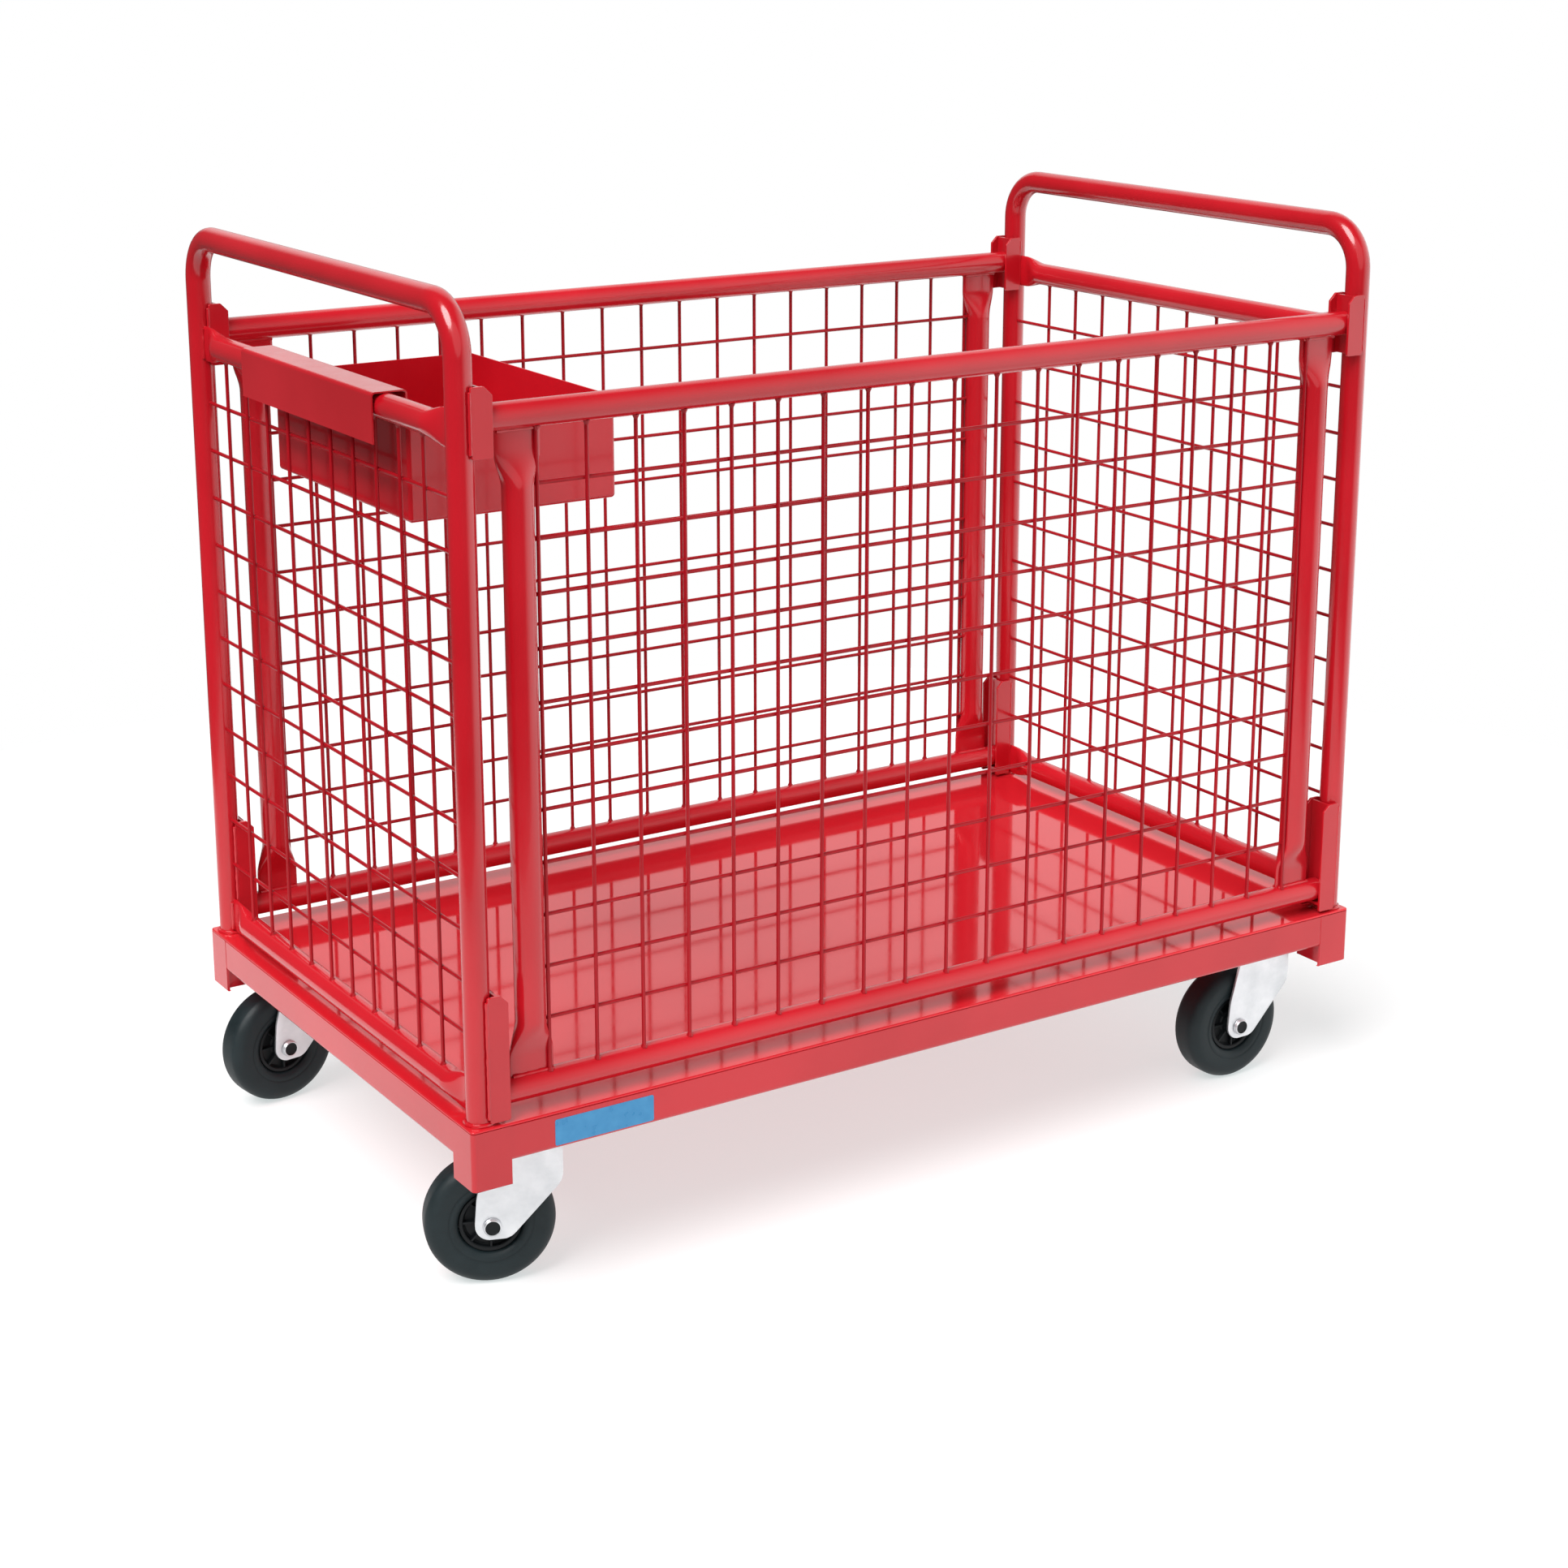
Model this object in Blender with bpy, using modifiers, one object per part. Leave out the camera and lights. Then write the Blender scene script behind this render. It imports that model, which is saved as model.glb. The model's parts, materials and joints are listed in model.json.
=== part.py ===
"""Wire-mesh roll cage container on four swivel casters. Metres, +Z up.

The origin is on the floor, at the middle of the footprint that the base and the
trailing wheels cover. +X runs along the cage, away from the hanging tray, and -Y is
the front. Everything hangs from an empty at the middle of the base, so the sizes
below are counted from there.
"""

import math

import bmesh
import bpy
from mathutils import Matrix, Vector

MODEL = "roll_cage_container"
GAP = 0.0003                # clearance between pieces that touch
MERGE = 0.00001             # distance under which loose points are welded

# Base: a deck sheet on a skirt of folded rails, with angle feet at the corners
BASE_LENGTH = 1.0774
BASE_WIDTH = 0.6236
RIM_Z = 0.184               # top of the deck, above the floor
DECK_THICKNESS = 0.002
DECK_MARGIN = 0.048         # strip round the deck's edge that posts and rails stand over
FIELD_RISE = 0.0003         # how far the clear floor stands above that strip
SKIRT_HEIGHT = 0.037        # from the top of the deck to the skirt's lower edge
SHEET = 0.003               # thickness of the skirt, feet, beams and pockets
SKIRT_RETURN = 0.015        # width of the skirt's inward lower flange
FOOT_WIDTH = 0.040
FOOT_HEIGHT = 0.060
FOOT_BOX = 0.038            # side of the box that closes the angle's open side
FOOT_BOX_Z = (0.1265, 0.1515)   # above the wheel's top, below the caster's plate
BEAM_WIDTH = 0.110

# Casters: 125 mm wheels on offset forks
SWIVEL_X = 0.4527
SWIVEL_Y = 0.258
TRAIL = 0.040               # from the swivel axis back to the axle
CASTER_TURN = {             # degrees from straight, as the casters came to rest
    "front_left": -20,
    "rear_left": 8,
    "front_right": 0,
    "rear_right": -5,
}
CASTER_HEIGHT = 0.155
WHEEL_RADIUS = 0.0625
WHEEL_WIDTH = 0.037
WHEEL_STEPS = 24
TREAD_SHOULDER = 0.008      # how far the tread's rounding reaches in from the side
SHOULDER_DEPTH = 0.0025
SHOULDER_SIDE = 0.002
TYRE_DISH = 0.004           # how much narrower the tyre is at the hub
HUB_RADIUS = 0.0305
HUB_RIM_WIDTH = 0.026
HUB_WIDTH = 0.040
BOSS_RADIUS = 0.012
AXLE_RADIUS = 0.005
AXLE_BORE = 0.0055
AXLE_HEAD_RADIUS = 0.009
AXLE_HEAD = 0.006
PLATE_SIZE = (0.100, 0.080)
PLATE_CORNER = 0.012
FORK_INSIDE = 0.042         # between the fork's two legs
FORK_CROWN_Z = 0.1435
CORNER_STEPS = 4
FORK_SIDE = (                # x from the swivel axis, z and corner radius, round the leg
    (-0.056, 0.0505, 0.012),
    (-0.0215, 0.0505, 0.014),
    (0.028, 0.1035, 0.020),
    (0.028, FORK_CROWN_Z, 0.003),
    (-0.040, FORK_CROWN_Z, 0.003),
    (-0.0535, 0.092, 0.020),
)
RACE_RADIUS = 0.026
KINGPIN_RADIUS = 0.006
HOLE_STEPS = 12

# Tubes
TUBE = 0.025                # diameter of hoops, end rails and panel rails
STILE = 0.029
POST_X = 0.5216
POST_Y = 0.2935
HANDLE_Z = 0.7485           # centre of the handle bar, above the deck
HANDLE_BEND = 0.045         # bend radius on the tube's centre line
END_RAIL_Z = (0.021, 0.640)
PINCH_THICKNESS = 0.006
PINCH_HEIGHT = 0.036
PINCH_LENGTH = 0.014
PINCH_TAPER = 0.028

# Wire mesh
WIRE = 0.004
PITCH = 0.050
MESH_ROWS = 11
END_MESH_DROP = 0.005       # how much lower the end mesh's first row sits
END_MESH_COLUMNS = 10
PANEL_MESH_COLUMNS = 19

# Long panels, which lift out of their pockets
PANEL_RAIL_Z = (0.025, 0.650)
PANEL_RAIL_HALF = 0.505
STILE_X = 0.467
PANEL_MESH_OFFSET = 0.004   # the mesh is welded on the outside of the stiles

# Pockets: H-section brackets on the posts
POCKET_MOUTH_X = 0.497
POCKET_BACK_X = 0.518
POCKET_WEB_X = 0.5055
POCKET_TOP = (0.617, 0.680)
POCKET_BOTTOM = (0.003, 0.125)
POCKET_CHAMFER = 0.008

# Tray that hangs on the left end's top rail
TRAY_X = (-0.503, -0.288)
TRAY_Y = 0.150
TRAY_Z = (0.530, 0.628)
TRAY_SHEET = 0.0015
TRAY_FOLD = 0.004           # size of the bend between the tray's floor and its walls
TRAY_LIP_X = -0.5356
TRAY_LIP_Z = 0.607

TUBE_RADIUS = TUBE / 2
WHEEL_REACH = max(
    (TRAIL + WHEEL_RADIUS) * math.cos(math.radians(turn))
    + (WHEEL_WIDTH / 2 - TREAD_SHOULDER) * abs(math.sin(math.radians(turn)))
    for corner, turn in CASTER_TURN.items() if corner.endswith("left"))
BASE_X = (SWIVEL_X + WHEEL_REACH - BASE_LENGTH / 2) / 2
DECK_UNDER_Z = RIM_Z - DECK_THICKNESS - GAP
SIDES = {"left": -1, "right": 1}
FACES = {"front": -1, "rear": 1}

# Turns that carry a flat outline's own X, Y and Z to the world's
ALONG_X = Matrix(((0, 0, 1), (1, 0, 0), (0, 1, 0)))
ALONG_Y = Matrix(((1, 0, 0), (0, 0, -1), (0, 1, 0)))
ALONG_Z = Matrix.Identity(3)


def clear_scene():
    for item in list(bpy.data.objects):
        bpy.data.objects.remove(item)


def new_collection(name):
    collection = bpy.data.collections.new(name)
    bpy.context.scene.collection.children.link(collection)
    return collection


def material(name, colour, roughness, metallic=0.0, coat=0.0):
    made = bpy.data.materials.new(name)
    made.use_nodes = True
    shader = made.node_tree.nodes["Principled BSDF"]
    shader.inputs["Base Color"].default_value = (*colour, 1.0)
    shader.inputs["Roughness"].default_value = roughness
    shader.inputs["Metallic"].default_value = metallic
    shader.inputs["Coat Weight"].default_value = coat
    made.diffuse_color = (*colour, 1.0)
    return made


def red_paint():
    return material("red_paint", (0.60, 0.02, 0.03), 0.25, coat=0.8)


def zinc_plating():
    return material("zinc_plating", (0.72, 0.73, 0.75), 0.35, metallic=1.0)


def black_tyre():
    return material("black_tyre", (0.02, 0.02, 0.022), 0.75)


def dark_hub():
    return material("dark_hub", (0.05, 0.055, 0.06), 0.5)


def place(item, parent, paint=None, location=(0, 0, 0)):
    """Link an object to its parent's frame and give it its material."""
    PARTS.objects.link(item)
    item.parent = parent
    item.location = location
    if paint is not None:
        item.data.materials.clear()
        item.data.materials.append(paint)
    return item


def empty(name, location, parent=None):
    item = bpy.data.objects.new(name, None)
    item.empty_display_size = 0.05
    return place(item, parent, location=location)


def mesh_from(name, builder, closed=True):
    """A mesh made by one function that fills a bmesh."""
    shape = bmesh.new()
    builder(shape)
    if closed:
        bmesh.ops.recalc_face_normals(shape, faces=shape.faces)
    mesh = bpy.data.meshes.new(name)
    shape.to_mesh(mesh)
    shape.free()
    return mesh


def block_mesh(name, low, high):
    low = Vector(low)
    high = Vector(high)

    def build(shape):
        bmesh.ops.create_cube(shape, size=1.0)
        size = high - low
        bmesh.ops.scale(shape, vec=size, verts=shape.verts)
        bmesh.ops.translate(shape, vec=low + size / 2, verts=shape.verts)

    return mesh_from(name, build)


def round_off(mesh, angle=40):
    mesh.shade_smooth()
    mesh.set_sharp_from_angle(angle=math.radians(angle))
    return mesh


def evaluated_mesh(item):
    """The mesh that an object shows, welded, in place of the object itself."""
    bpy.context.view_layer.update()
    graph = bpy.context.evaluated_depsgraph_get()
    mesh = bpy.data.meshes.new_from_object(item.evaluated_get(graph))
    mesh.transform(item.matrix_world)
    shape = bmesh.new()
    shape.from_mesh(mesh)
    bmesh.ops.remove_doubles(shape, verts=shape.verts, dist=MERGE)
    bmesh.ops.recalc_face_normals(shape, faces=shape.faces)
    shape.to_mesh(mesh)
    shape.free()
    bpy.data.objects.remove(item)
    return mesh


def prism(name, outlines, turn, low, high):
    """Flat outlines, the first with the others cut out, extruded from low to high."""
    curve = bpy.data.curves.new(name, "CURVE")
    curve.dimensions = "2D"
    curve.fill_mode = "BOTH"
    curve.extrude = abs(high - low) / 2
    for outline in outlines:
        spline = curve.splines.new("POLY")
        spline.points.add(len(outline) - 1)
        for point, (u, v) in zip(spline.points, outline):
            point.co = (u, v, 0, 1)
        spline.use_cyclic_u = True
    item = bpy.data.objects.new(name, curve)
    CUTTERS.objects.link(item)
    middle = turn @ Vector((0, 0, (low + high) / 2))
    if turn is ALONG_Y:
        middle = -middle
    item.matrix_world = Matrix.Translation(middle) @ turn.to_4x4()
    return evaluated_mesh(item)


def turned_mesh(name, profile, steps, closed=False):
    """A profile of (radius, height) points, from top to bottom, turned about Z."""
    mesh = bpy.data.meshes.new(name)
    edges = [(i, i + 1) for i in range(len(profile) - 1)]
    if closed:
        edges.append((len(profile) - 1, 0))
    mesh.from_pydata([(radius, 0, height) for radius, height in profile], edges, [])
    item = bpy.data.objects.new(name, mesh)
    CUTTERS.objects.link(item)
    screw = item.modifiers.new("turn", "SCREW")
    screw.steps = steps
    screw.render_steps = steps
    screw.use_merge_vertices = True
    screw.merge_threshold = MERGE
    return round_off(evaluated_mesh(item))


def combine(mesh, others, operation):
    """Union, difference or intersection of one mesh with others, as a new mesh."""
    item = bpy.data.objects.new(mesh.name, mesh)
    CUTTERS.objects.link(item)
    tools = []
    for other in others:
        tool = bpy.data.objects.new(other.name, other)
        CUTTERS.objects.link(tool)
        tools.append(tool)
        cut = item.modifiers.new(operation.lower(), "BOOLEAN")
        cut.operation = operation
        cut.solver = "EXACT"
        cut.object = tool
    result = evaluated_mesh(item)
    for tool in tools:
        bpy.data.objects.remove(tool)
    return result


def tube(name, path, radius, sides=12):
    """A round rod along a path of points, with filled caps."""
    curve = bpy.data.curves.new(name, "CURVE")
    curve.dimensions = "3D"
    curve.bevel_depth = radius
    curve.bevel_resolution = (sides - 4) // 2
    curve.use_fill_caps = True
    spline = curve.splines.new("POLY")
    spline.points.add(len(path) - 1)
    for point, place_on_path in zip(spline.points, path):
        point.co = (*place_on_path, 1)
    spline.use_smooth = True
    return bpy.data.objects.new(name, curve)


def arc(centre, radius, start, end, steps):
    """Points on an arc, in degrees, both ends included."""
    angles = [math.radians(start + (end - start) * i / steps) for i in range(steps + 1)]
    return [(centre[0] + radius * math.cos(a), centre[1] + radius * math.sin(a)) for a in angles]


def circle(centre, radius, steps):
    return arc(centre, radius, 0, 360 - 360 / steps, steps - 1)


# ---- Base

def build_base(parent, paint):
    half_length = BASE_LENGTH / 2
    half_width = BASE_WIDTH / 2
    place(bpy.data.objects.new("deck_sheet", deck_mesh(half_length, half_width)), parent, paint)
    for name, side in FACES.items():
        place(bpy.data.objects.new("base_rail_" + name, skirt_mesh(
            "base_rail_" + name, side * half_width, half_length, ALONG_X)), parent, paint)
    for name, side in SIDES.items():
        place(bpy.data.objects.new("base_rail_" + name, skirt_mesh(
            "base_rail_" + name, side * half_length, half_width, ALONG_Y)), parent, paint)
        beam = beam_mesh("caster_beam_" + name, side * SWIVEL_X)
        place(bpy.data.objects.new("caster_beam_" + name, beam), parent, paint)
        for face, front in FACES.items():
            label = "corner_foot_" + face + "_" + name
            place(bpy.data.objects.new(label, foot_mesh(label, side, front)), parent, paint)


def deck_mesh(half_length, half_width):
    """A sheet whose clear floor is pressed a little above the strip round it."""
    def build(shape):
        bmesh.ops.create_cube(shape, size=1.0)
        size = (2 * half_length, 2 * half_width, DECK_THICKNESS)
        bmesh.ops.scale(shape, vec=size, verts=shape.verts)
        middle = (0, 0, RIM_Z - DECK_THICKNESS / 2)
        bmesh.ops.translate(shape, vec=middle, verts=shape.verts)
        shape.normal_update()
        top = [face for face in shape.faces if face.normal.z > 0.5]
        bmesh.ops.inset_region(shape, faces=top, thickness=DECK_MARGIN, depth=FIELD_RISE,
                               use_even_offset=True)

    return mesh_from("deck_sheet", build)


def skirt_mesh(name, outer, half_run, turn):
    """An L-section rail: a web on the outer face and a return flange at its foot."""
    inward = -math.copysign(1, outer)
    low = RIM_Z - SKIRT_HEIGHT
    web = outer + inward * SHEET
    flange = outer + inward * (SHEET + SKIRT_RETURN)
    outline = [(outer, low), (flange, low), (flange, low + SHEET), (web, low + SHEET),
               (web, DECK_UNDER_Z), (outer, DECK_UNDER_Z)]
    run = half_run - FOOT_WIDTH - GAP
    return prism(name, [outline], turn, -run, run)


def foot_mesh(name, side, front):
    x, y = side * BASE_LENGTH / 2, front * BASE_WIDTH / 2
    outline = [(x, y), (x - side * FOOT_WIDTH, y), (x - side * FOOT_WIDTH, y - front * SHEET),
               (x - side * SHEET, y - front * SHEET), (x - side * SHEET, y - front * FOOT_WIDTH),
               (x, y - front * FOOT_WIDTH)]
    angle = prism(name, [outline], ALONG_Z, RIM_Z - FOOT_HEIGHT, DECK_UNDER_Z)
    far, near = FOOT_BOX, FOOT_BOX - SHEET
    lap = SHEET / 2
    walls = [(x - side * far, y - front * lap), (x - side * far, y - front * far),
             (x - side * lap, y - front * far), (x - side * lap, y - front * near),
             (x - side * near, y - front * near), (x - side * near, y - front * lap)]
    return combine(angle, [prism("foot_walls", [walls], ALONG_Z, *FOOT_BOX_Z)], "UNION")


def beam_mesh(name, x):
    """A channel across the base, open towards the deck, that carries two casters."""
    half = BEAM_WIDTH / 2
    low = CASTER_HEIGHT + GAP
    outline = [(x - half, low), (x + half, low), (x + half, DECK_UNDER_Z),
               (x + half - SHEET, DECK_UNDER_Z), (x + half - SHEET, low + SHEET),
               (x - half + SHEET, low + SHEET), (x - half + SHEET, DECK_UNDER_Z),
               (x - half, DECK_UNDER_Z)]
    run = BASE_WIDTH / 2 - SHEET - GAP
    return prism(name, [outline], ALONG_Y, -run, run)


# ---- Ends

def build_end(name, side, parent, paint):
    x = side * POST_X
    place(hoop("end_hoop_" + name, x), parent, paint)
    for level, height in zip(("bottom", "top"), END_RAIL_Z):
        label = "end_" + level + "_rail_" + name
        rail = pinched_rail(label, x, RIM_Z + height)
        place(bpy.data.objects.new(label, rail), parent, paint)
    columns = centred(END_MESH_COLUMNS)
    low, high = mesh_span(END_RAIL_Z)
    rows = mesh_rows(END_RAIL_Z)
    reach = POST_Y - TUBE_RADIUS - GAP
    label = "end_mesh_" + name
    mesh = lattice(label, wire_lines(columns, -reach, reach), wire_lines(rows, low, high), "X", x)
    place(mesh, parent, paint)


def hoop(name, x):
    """Two posts and the handle between them, bent from one tube."""
    top = RIM_Z + HANDLE_Z
    bend = HANDLE_BEND
    side_bend = arc((POST_Y - bend, top - bend), bend, 0, 90, 6)
    half_path = [(POST_Y, RIM_Z + GAP)] + side_bend
    other_half = [(-y, z) for y, z in reversed(half_path)]
    return tube(name, [(x, y, z) for y, z in half_path + other_half], TUBE_RADIUS)


def pinched_rail(name, x, z):
    """A round rail whose ends are pressed flat where they are welded to the posts."""
    end = POST_Y - TUBE_RADIUS - GAP
    stations = [(end, 0.0), (end - PINCH_LENGTH, 0.0), (end - PINCH_LENGTH - PINCH_TAPER / 2, 0.6),
                (end - PINCH_LENGTH - PINCH_TAPER, 1.0)]
    stations += [(-y, roundness) for y, roundness in reversed(stations)]
    return loft(name, [pinched_ring(x, y, z, roundness) for y, roundness in stations])


def pinched_ring(x, y, z, roundness, sides=12):
    depth = PINCH_THICKNESS / 2 + (TUBE_RADIUS - PINCH_THICKNESS / 2) * roundness
    height = PINCH_HEIGHT / 2 + (TUBE_RADIUS - PINCH_HEIGHT / 2) * roundness
    angles = [2 * math.pi * (i + 0.5) / sides for i in range(sides)]
    return [(x + depth * math.cos(a), y, z + height * math.sin(a)) for a in angles]


def loft(name, rings):
    """A closed skin through rings that have the same number of points."""
    def build(shape):
        rows = [[shape.verts.new(point) for point in ring] for ring in rings]
        for first, second in zip(rows, rows[1:]):
            for i in range(len(first)):
                j = (i + 1) % len(first)
                shape.faces.new((first[i], first[j], second[j], second[i]))
        shape.faces.new(rows[0])
        shape.faces.new(rows[-1])

    return round_off(mesh_from(name, build), 60)


# ---- Wire mesh

def centred(count):
    """Wire centres at the mesh pitch, spread evenly about zero."""
    return [(i - (count - 1) / 2) * PITCH for i in range(count)]


def mesh_span(rail_heights):
    low = RIM_Z + rail_heights[0] + TUBE_RADIUS + GAP
    high = RIM_Z + rail_heights[1] - TUBE_RADIUS - GAP
    return low, high


def mesh_rows(rail_heights):
    """Heights of the level wires, the lowest one a pitch above the lower rail."""
    start = RIM_Z + rail_heights[0] + TUBE_RADIUS
    if rail_heights is END_RAIL_Z:
        start -= END_MESH_DROP
    return [start + PITCH * (k + 1) for k in range(MESH_ROWS)]


def wire_lines(centres, low=None, high=None):
    """Grid lines along one direction, each with whether the strip after it is wire."""
    lines = []
    if low is not None:
        lines.append((low, False))
    for centre in centres:
        lines.append((centre - WIRE / 2, True))
        lines.append((centre + WIRE / 2, False))
    if high is not None:
        lines.append((high, False))
    return lines


def lattice(name, across, up, axis, offset):
    """Square wires in one plane, which faces along X or Y at the given offset."""
    def build(shape):
        columns, rows = len(across) - 1, len(up) - 1
        bmesh.ops.create_grid(shape, x_segments=columns, y_segments=rows, size=0.5)
        openings = []
        for face in shape.faces:
            middle = face.calc_center_median()
            column = int((middle.x + 0.5) * columns)
            row = int((middle.y + 0.5) * rows)
            if not across[column][1] and not up[row][1]:
                openings.append(face)
        for vertex in shape.verts:
            u = across[round((vertex.co.x + 0.5) * columns)][0]
            v = up[round((vertex.co.y + 0.5) * rows)][0]
            vertex.co = (offset, u, v) if axis == "X" else (u, offset, v)
        bmesh.ops.delete(shape, geom=openings, context="FACES")

    item = bpy.data.objects.new(name, mesh_from(name, build))
    thicken = item.modifiers.new("wire_thickness", "SOLIDIFY")
    thicken.thickness = WIRE
    thicken.offset = 0
    return item


# ---- Pockets

def pocket_mesh(name, span, with_floor):
    """An H-section bracket about a post's inner half, for the +X end, at y = 0."""
    inner = TUBE_RADIUS + GAP
    bite = SHEET / 3
    low, high = RIM_Z + span[0], RIM_Z + span[1]
    mouth, back = POCKET_MOUTH_X, POCKET_BACK_X
    side_view = [(mouth, low), (back, low), (back, high), (mouth + POCKET_CHAMFER, high),
                 (mouth, high - POCKET_CHAMFER)]
    flanges = [prism(name, [side_view], ALONG_Y, start, start + SHEET)
               for start in (inner, -inner - SHEET)]
    web = block_mesh(name + "_web", (POCKET_WEB_X, -inner - bite, low + bite),
                     (POCKET_WEB_X + SHEET, inner + bite, high - bite))
    pieces = [web, flanges[1]]
    if with_floor:
        floor_top = RIM_Z + PANEL_RAIL_Z[0] - TUBE_RADIUS - GAP
        pieces.append(block_mesh(name + "_floor", (mouth + bite, -inner - bite, floor_top - SHEET),
                                 (POCKET_WEB_X + bite, inner + bite, floor_top)))
    return combine(flanges[0], pieces, "UNION")


def build_pockets(parent, paint):
    shapes = {
        "bottom": pocket_mesh("pocket_bottom", POCKET_BOTTOM, True),
        "top": pocket_mesh("pocket_top", POCKET_TOP, False),
    }
    for level, mesh in shapes.items():
        for name, side in SIDES.items():
            for face, front in FACES.items():
                label = "pocket_" + level + "_" + face + "_" + name
                item = place(bpy.data.objects.new(label, mesh), parent, paint,
                             (0, front * POST_Y, 0))
                if side < 0:
                    item.rotation_euler.z = math.pi


# ---- Long panels

def build_panel(name, side, parent, paint):
    y = side * POST_Y
    handle = empty("panel_" + name, (0, y, 0), parent)
    label = "panel_" + name + "_"
    heights = [RIM_Z + height for height in PANEL_RAIL_Z]
    for level, z in zip(("bottom_rail", "top_rail"), heights):
        run = [(-PANEL_RAIL_HALF, 0, z), (PANEL_RAIL_HALF, 0, z)]
        place(tube(label + level, run, TUBE_RADIUS), handle, paint)
    low, high = mesh_span(PANEL_RAIL_Z)
    for end, end_side in SIDES.items():
        x = end_side * STILE_X
        place(tube(label + "stile_" + end, [(x, 0, low), (x, 0, high)], STILE / 2), handle, paint)
    columns = wire_lines(centred(PANEL_MESH_COLUMNS))
    rows = wire_lines(mesh_rows(PANEL_RAIL_Z), low, high)
    mesh = lattice(label + "mesh", columns, rows, "Y", side * PANEL_MESH_OFFSET)
    place(mesh, handle, paint)


# ---- Tray

def build_tray(parent, paint):
    """An open box whose back wall rises, folds over the end rail and hooks behind it."""
    bottom, top = RIM_Z + TRAY_Z[0], RIM_Z + TRAY_Z[1]
    fold = RIM_Z + END_RAIL_Z[1] + TUBE_RADIUS + GAP

    def build(shape):
        back, front = TRAY_X
        bmesh.ops.create_cube(shape, size=1.0)
        low = Vector((back, -TRAY_Y, bottom))
        size = Vector((front - back, 2 * TRAY_Y, top - bottom))
        bmesh.ops.scale(shape, vec=size, verts=shape.verts)
        bmesh.ops.translate(shape, vec=low + size / 2, verts=shape.verts)
        lids = [face for face in shape.faces if face.normal.z > 0.5]
        bmesh.ops.delete(shape, geom=lids, context="FACES_ONLY")
        rim = [edge for edge in shape.edges
               if all(abs(v.co.x - back) < MERGE and v.co.z > bottom + MERGE for v in edge.verts)]
        steps = (Vector((0, 0, fold - top)), Vector((TRAY_LIP_X - back, 0, 0)),
                 Vector((0, 0, RIM_Z + TRAY_LIP_Z - fold)))
        for step in steps:
            grown = bmesh.ops.extrude_edge_only(shape, edges=rim)["geom"]
            fresh = [item for item in grown if isinstance(item, bmesh.types.BMVert)]
            bmesh.ops.translate(shape, vec=step, verts=fresh)
            rim = [edge for edge in shape.edges if all(v in fresh for v in edge.verts)]
        folds = [edge for edge in shape.edges
                 if all(vertex.co.z < bottom + MERGE for vertex in edge.verts)]
        bmesh.ops.bevel(shape, geom=folds, offset=TRAY_FOLD, segments=1, affect="EDGES")

    mesh = mesh_from("tray", build, closed=False)
    tray = place(bpy.data.objects.new("tray", mesh), empty("tray_lift", (0, 0, 0), parent), paint)
    thicken = tray.modifiers.new("sheet", "SOLIDIFY")
    thicken.thickness = TRAY_SHEET
    thicken.offset = -1
    thicken.use_even_offset = True


# ---- Casters

def fork_outline():
    """Side view of the fork: an upright rear edge and a raked front edge."""
    count = len(FORK_SIDE)
    outline = []
    for i, (x, z, radius) in enumerate(FORK_SIDE):
        corner = Vector((x, z))
        before = (Vector(FORK_SIDE[i - 1][:2]) - corner).normalized()
        after = (Vector(FORK_SIDE[(i + 1) % count][:2]) - corner).normalized()
        half = math.acos(before.dot(after)) / 2
        centre = corner + (before + after).normalized() * radius / math.sin(half)
        start = corner + before * radius / math.tan(half) - centre
        first = math.degrees(math.atan2(start.y, start.x))
        outline += arc(centre, radius, first, first + 180 - math.degrees(2 * half), CORNER_STEPS)
    return outline


def fork_mesh():
    """A folded fork with its bearing race and kingpin, on the swivel axis."""
    inner = FORK_INSIDE / 2
    outer = inner + SHEET
    low = 0
    under = FORK_CROWN_Z - SHEET
    section = [(-outer, low), (-inner, low), (-inner, under), (inner, under), (inner, low),
               (outer, low), (outer, FORK_CROWN_Z), (-outer, FORK_CROWN_Z)]
    reach = 2 * TRAIL
    channel = prism("caster_fork", [section], ALONG_X, -reach, reach)
    side_view = prism("fork_side", [fork_outline()], ALONG_Y, -2 * outer, 2 * outer)
    legs = combine(channel, [side_view], "INTERSECT")
    plate_under = CASTER_HEIGHT - SHEET - GAP
    race = turned_mesh("race", [
        (0, CASTER_HEIGHT - GAP), (KINGPIN_RADIUS, CASTER_HEIGHT - GAP),
        (KINGPIN_RADIUS, plate_under), (RACE_RADIUS, plate_under),
        (RACE_RADIUS, FORK_CROWN_Z - SHEET / 2), (0, FORK_CROWN_Z - SHEET / 2)], WHEEL_STEPS)
    with_race = combine(legs, [race], "UNION")
    hole = turned_mesh("axle_hole", [(0, 2 * outer), (AXLE_BORE, 2 * outer),
                                     (AXLE_BORE, -2 * outer), (0, -2 * outer)], HOLE_STEPS)
    hole.transform(Matrix.Translation((-TRAIL, 0, WHEEL_RADIUS)) @ ALONG_Y.to_4x4())
    return round_off(combine(with_race, [hole], "DIFFERENCE"), 30)


def plate_mesh():
    half_x, half_y = (size / 2 - PLATE_CORNER for size in PLATE_SIZE)
    corners = ((half_x, half_y, 0), (-half_x, half_y, 90), (-half_x, -half_y, 180),
               (half_x, -half_y, 270))
    outline = []
    for x, y, start in corners:
        outline += arc((x, y), PLATE_CORNER, start, start + 90, 3)
    hole = circle((0, 0), KINGPIN_RADIUS + 2 * GAP, HOLE_STEPS)
    return prism("caster_plate", [outline, hole], ALONG_Z, CASTER_HEIGHT - SHEET, CASTER_HEIGHT)


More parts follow.
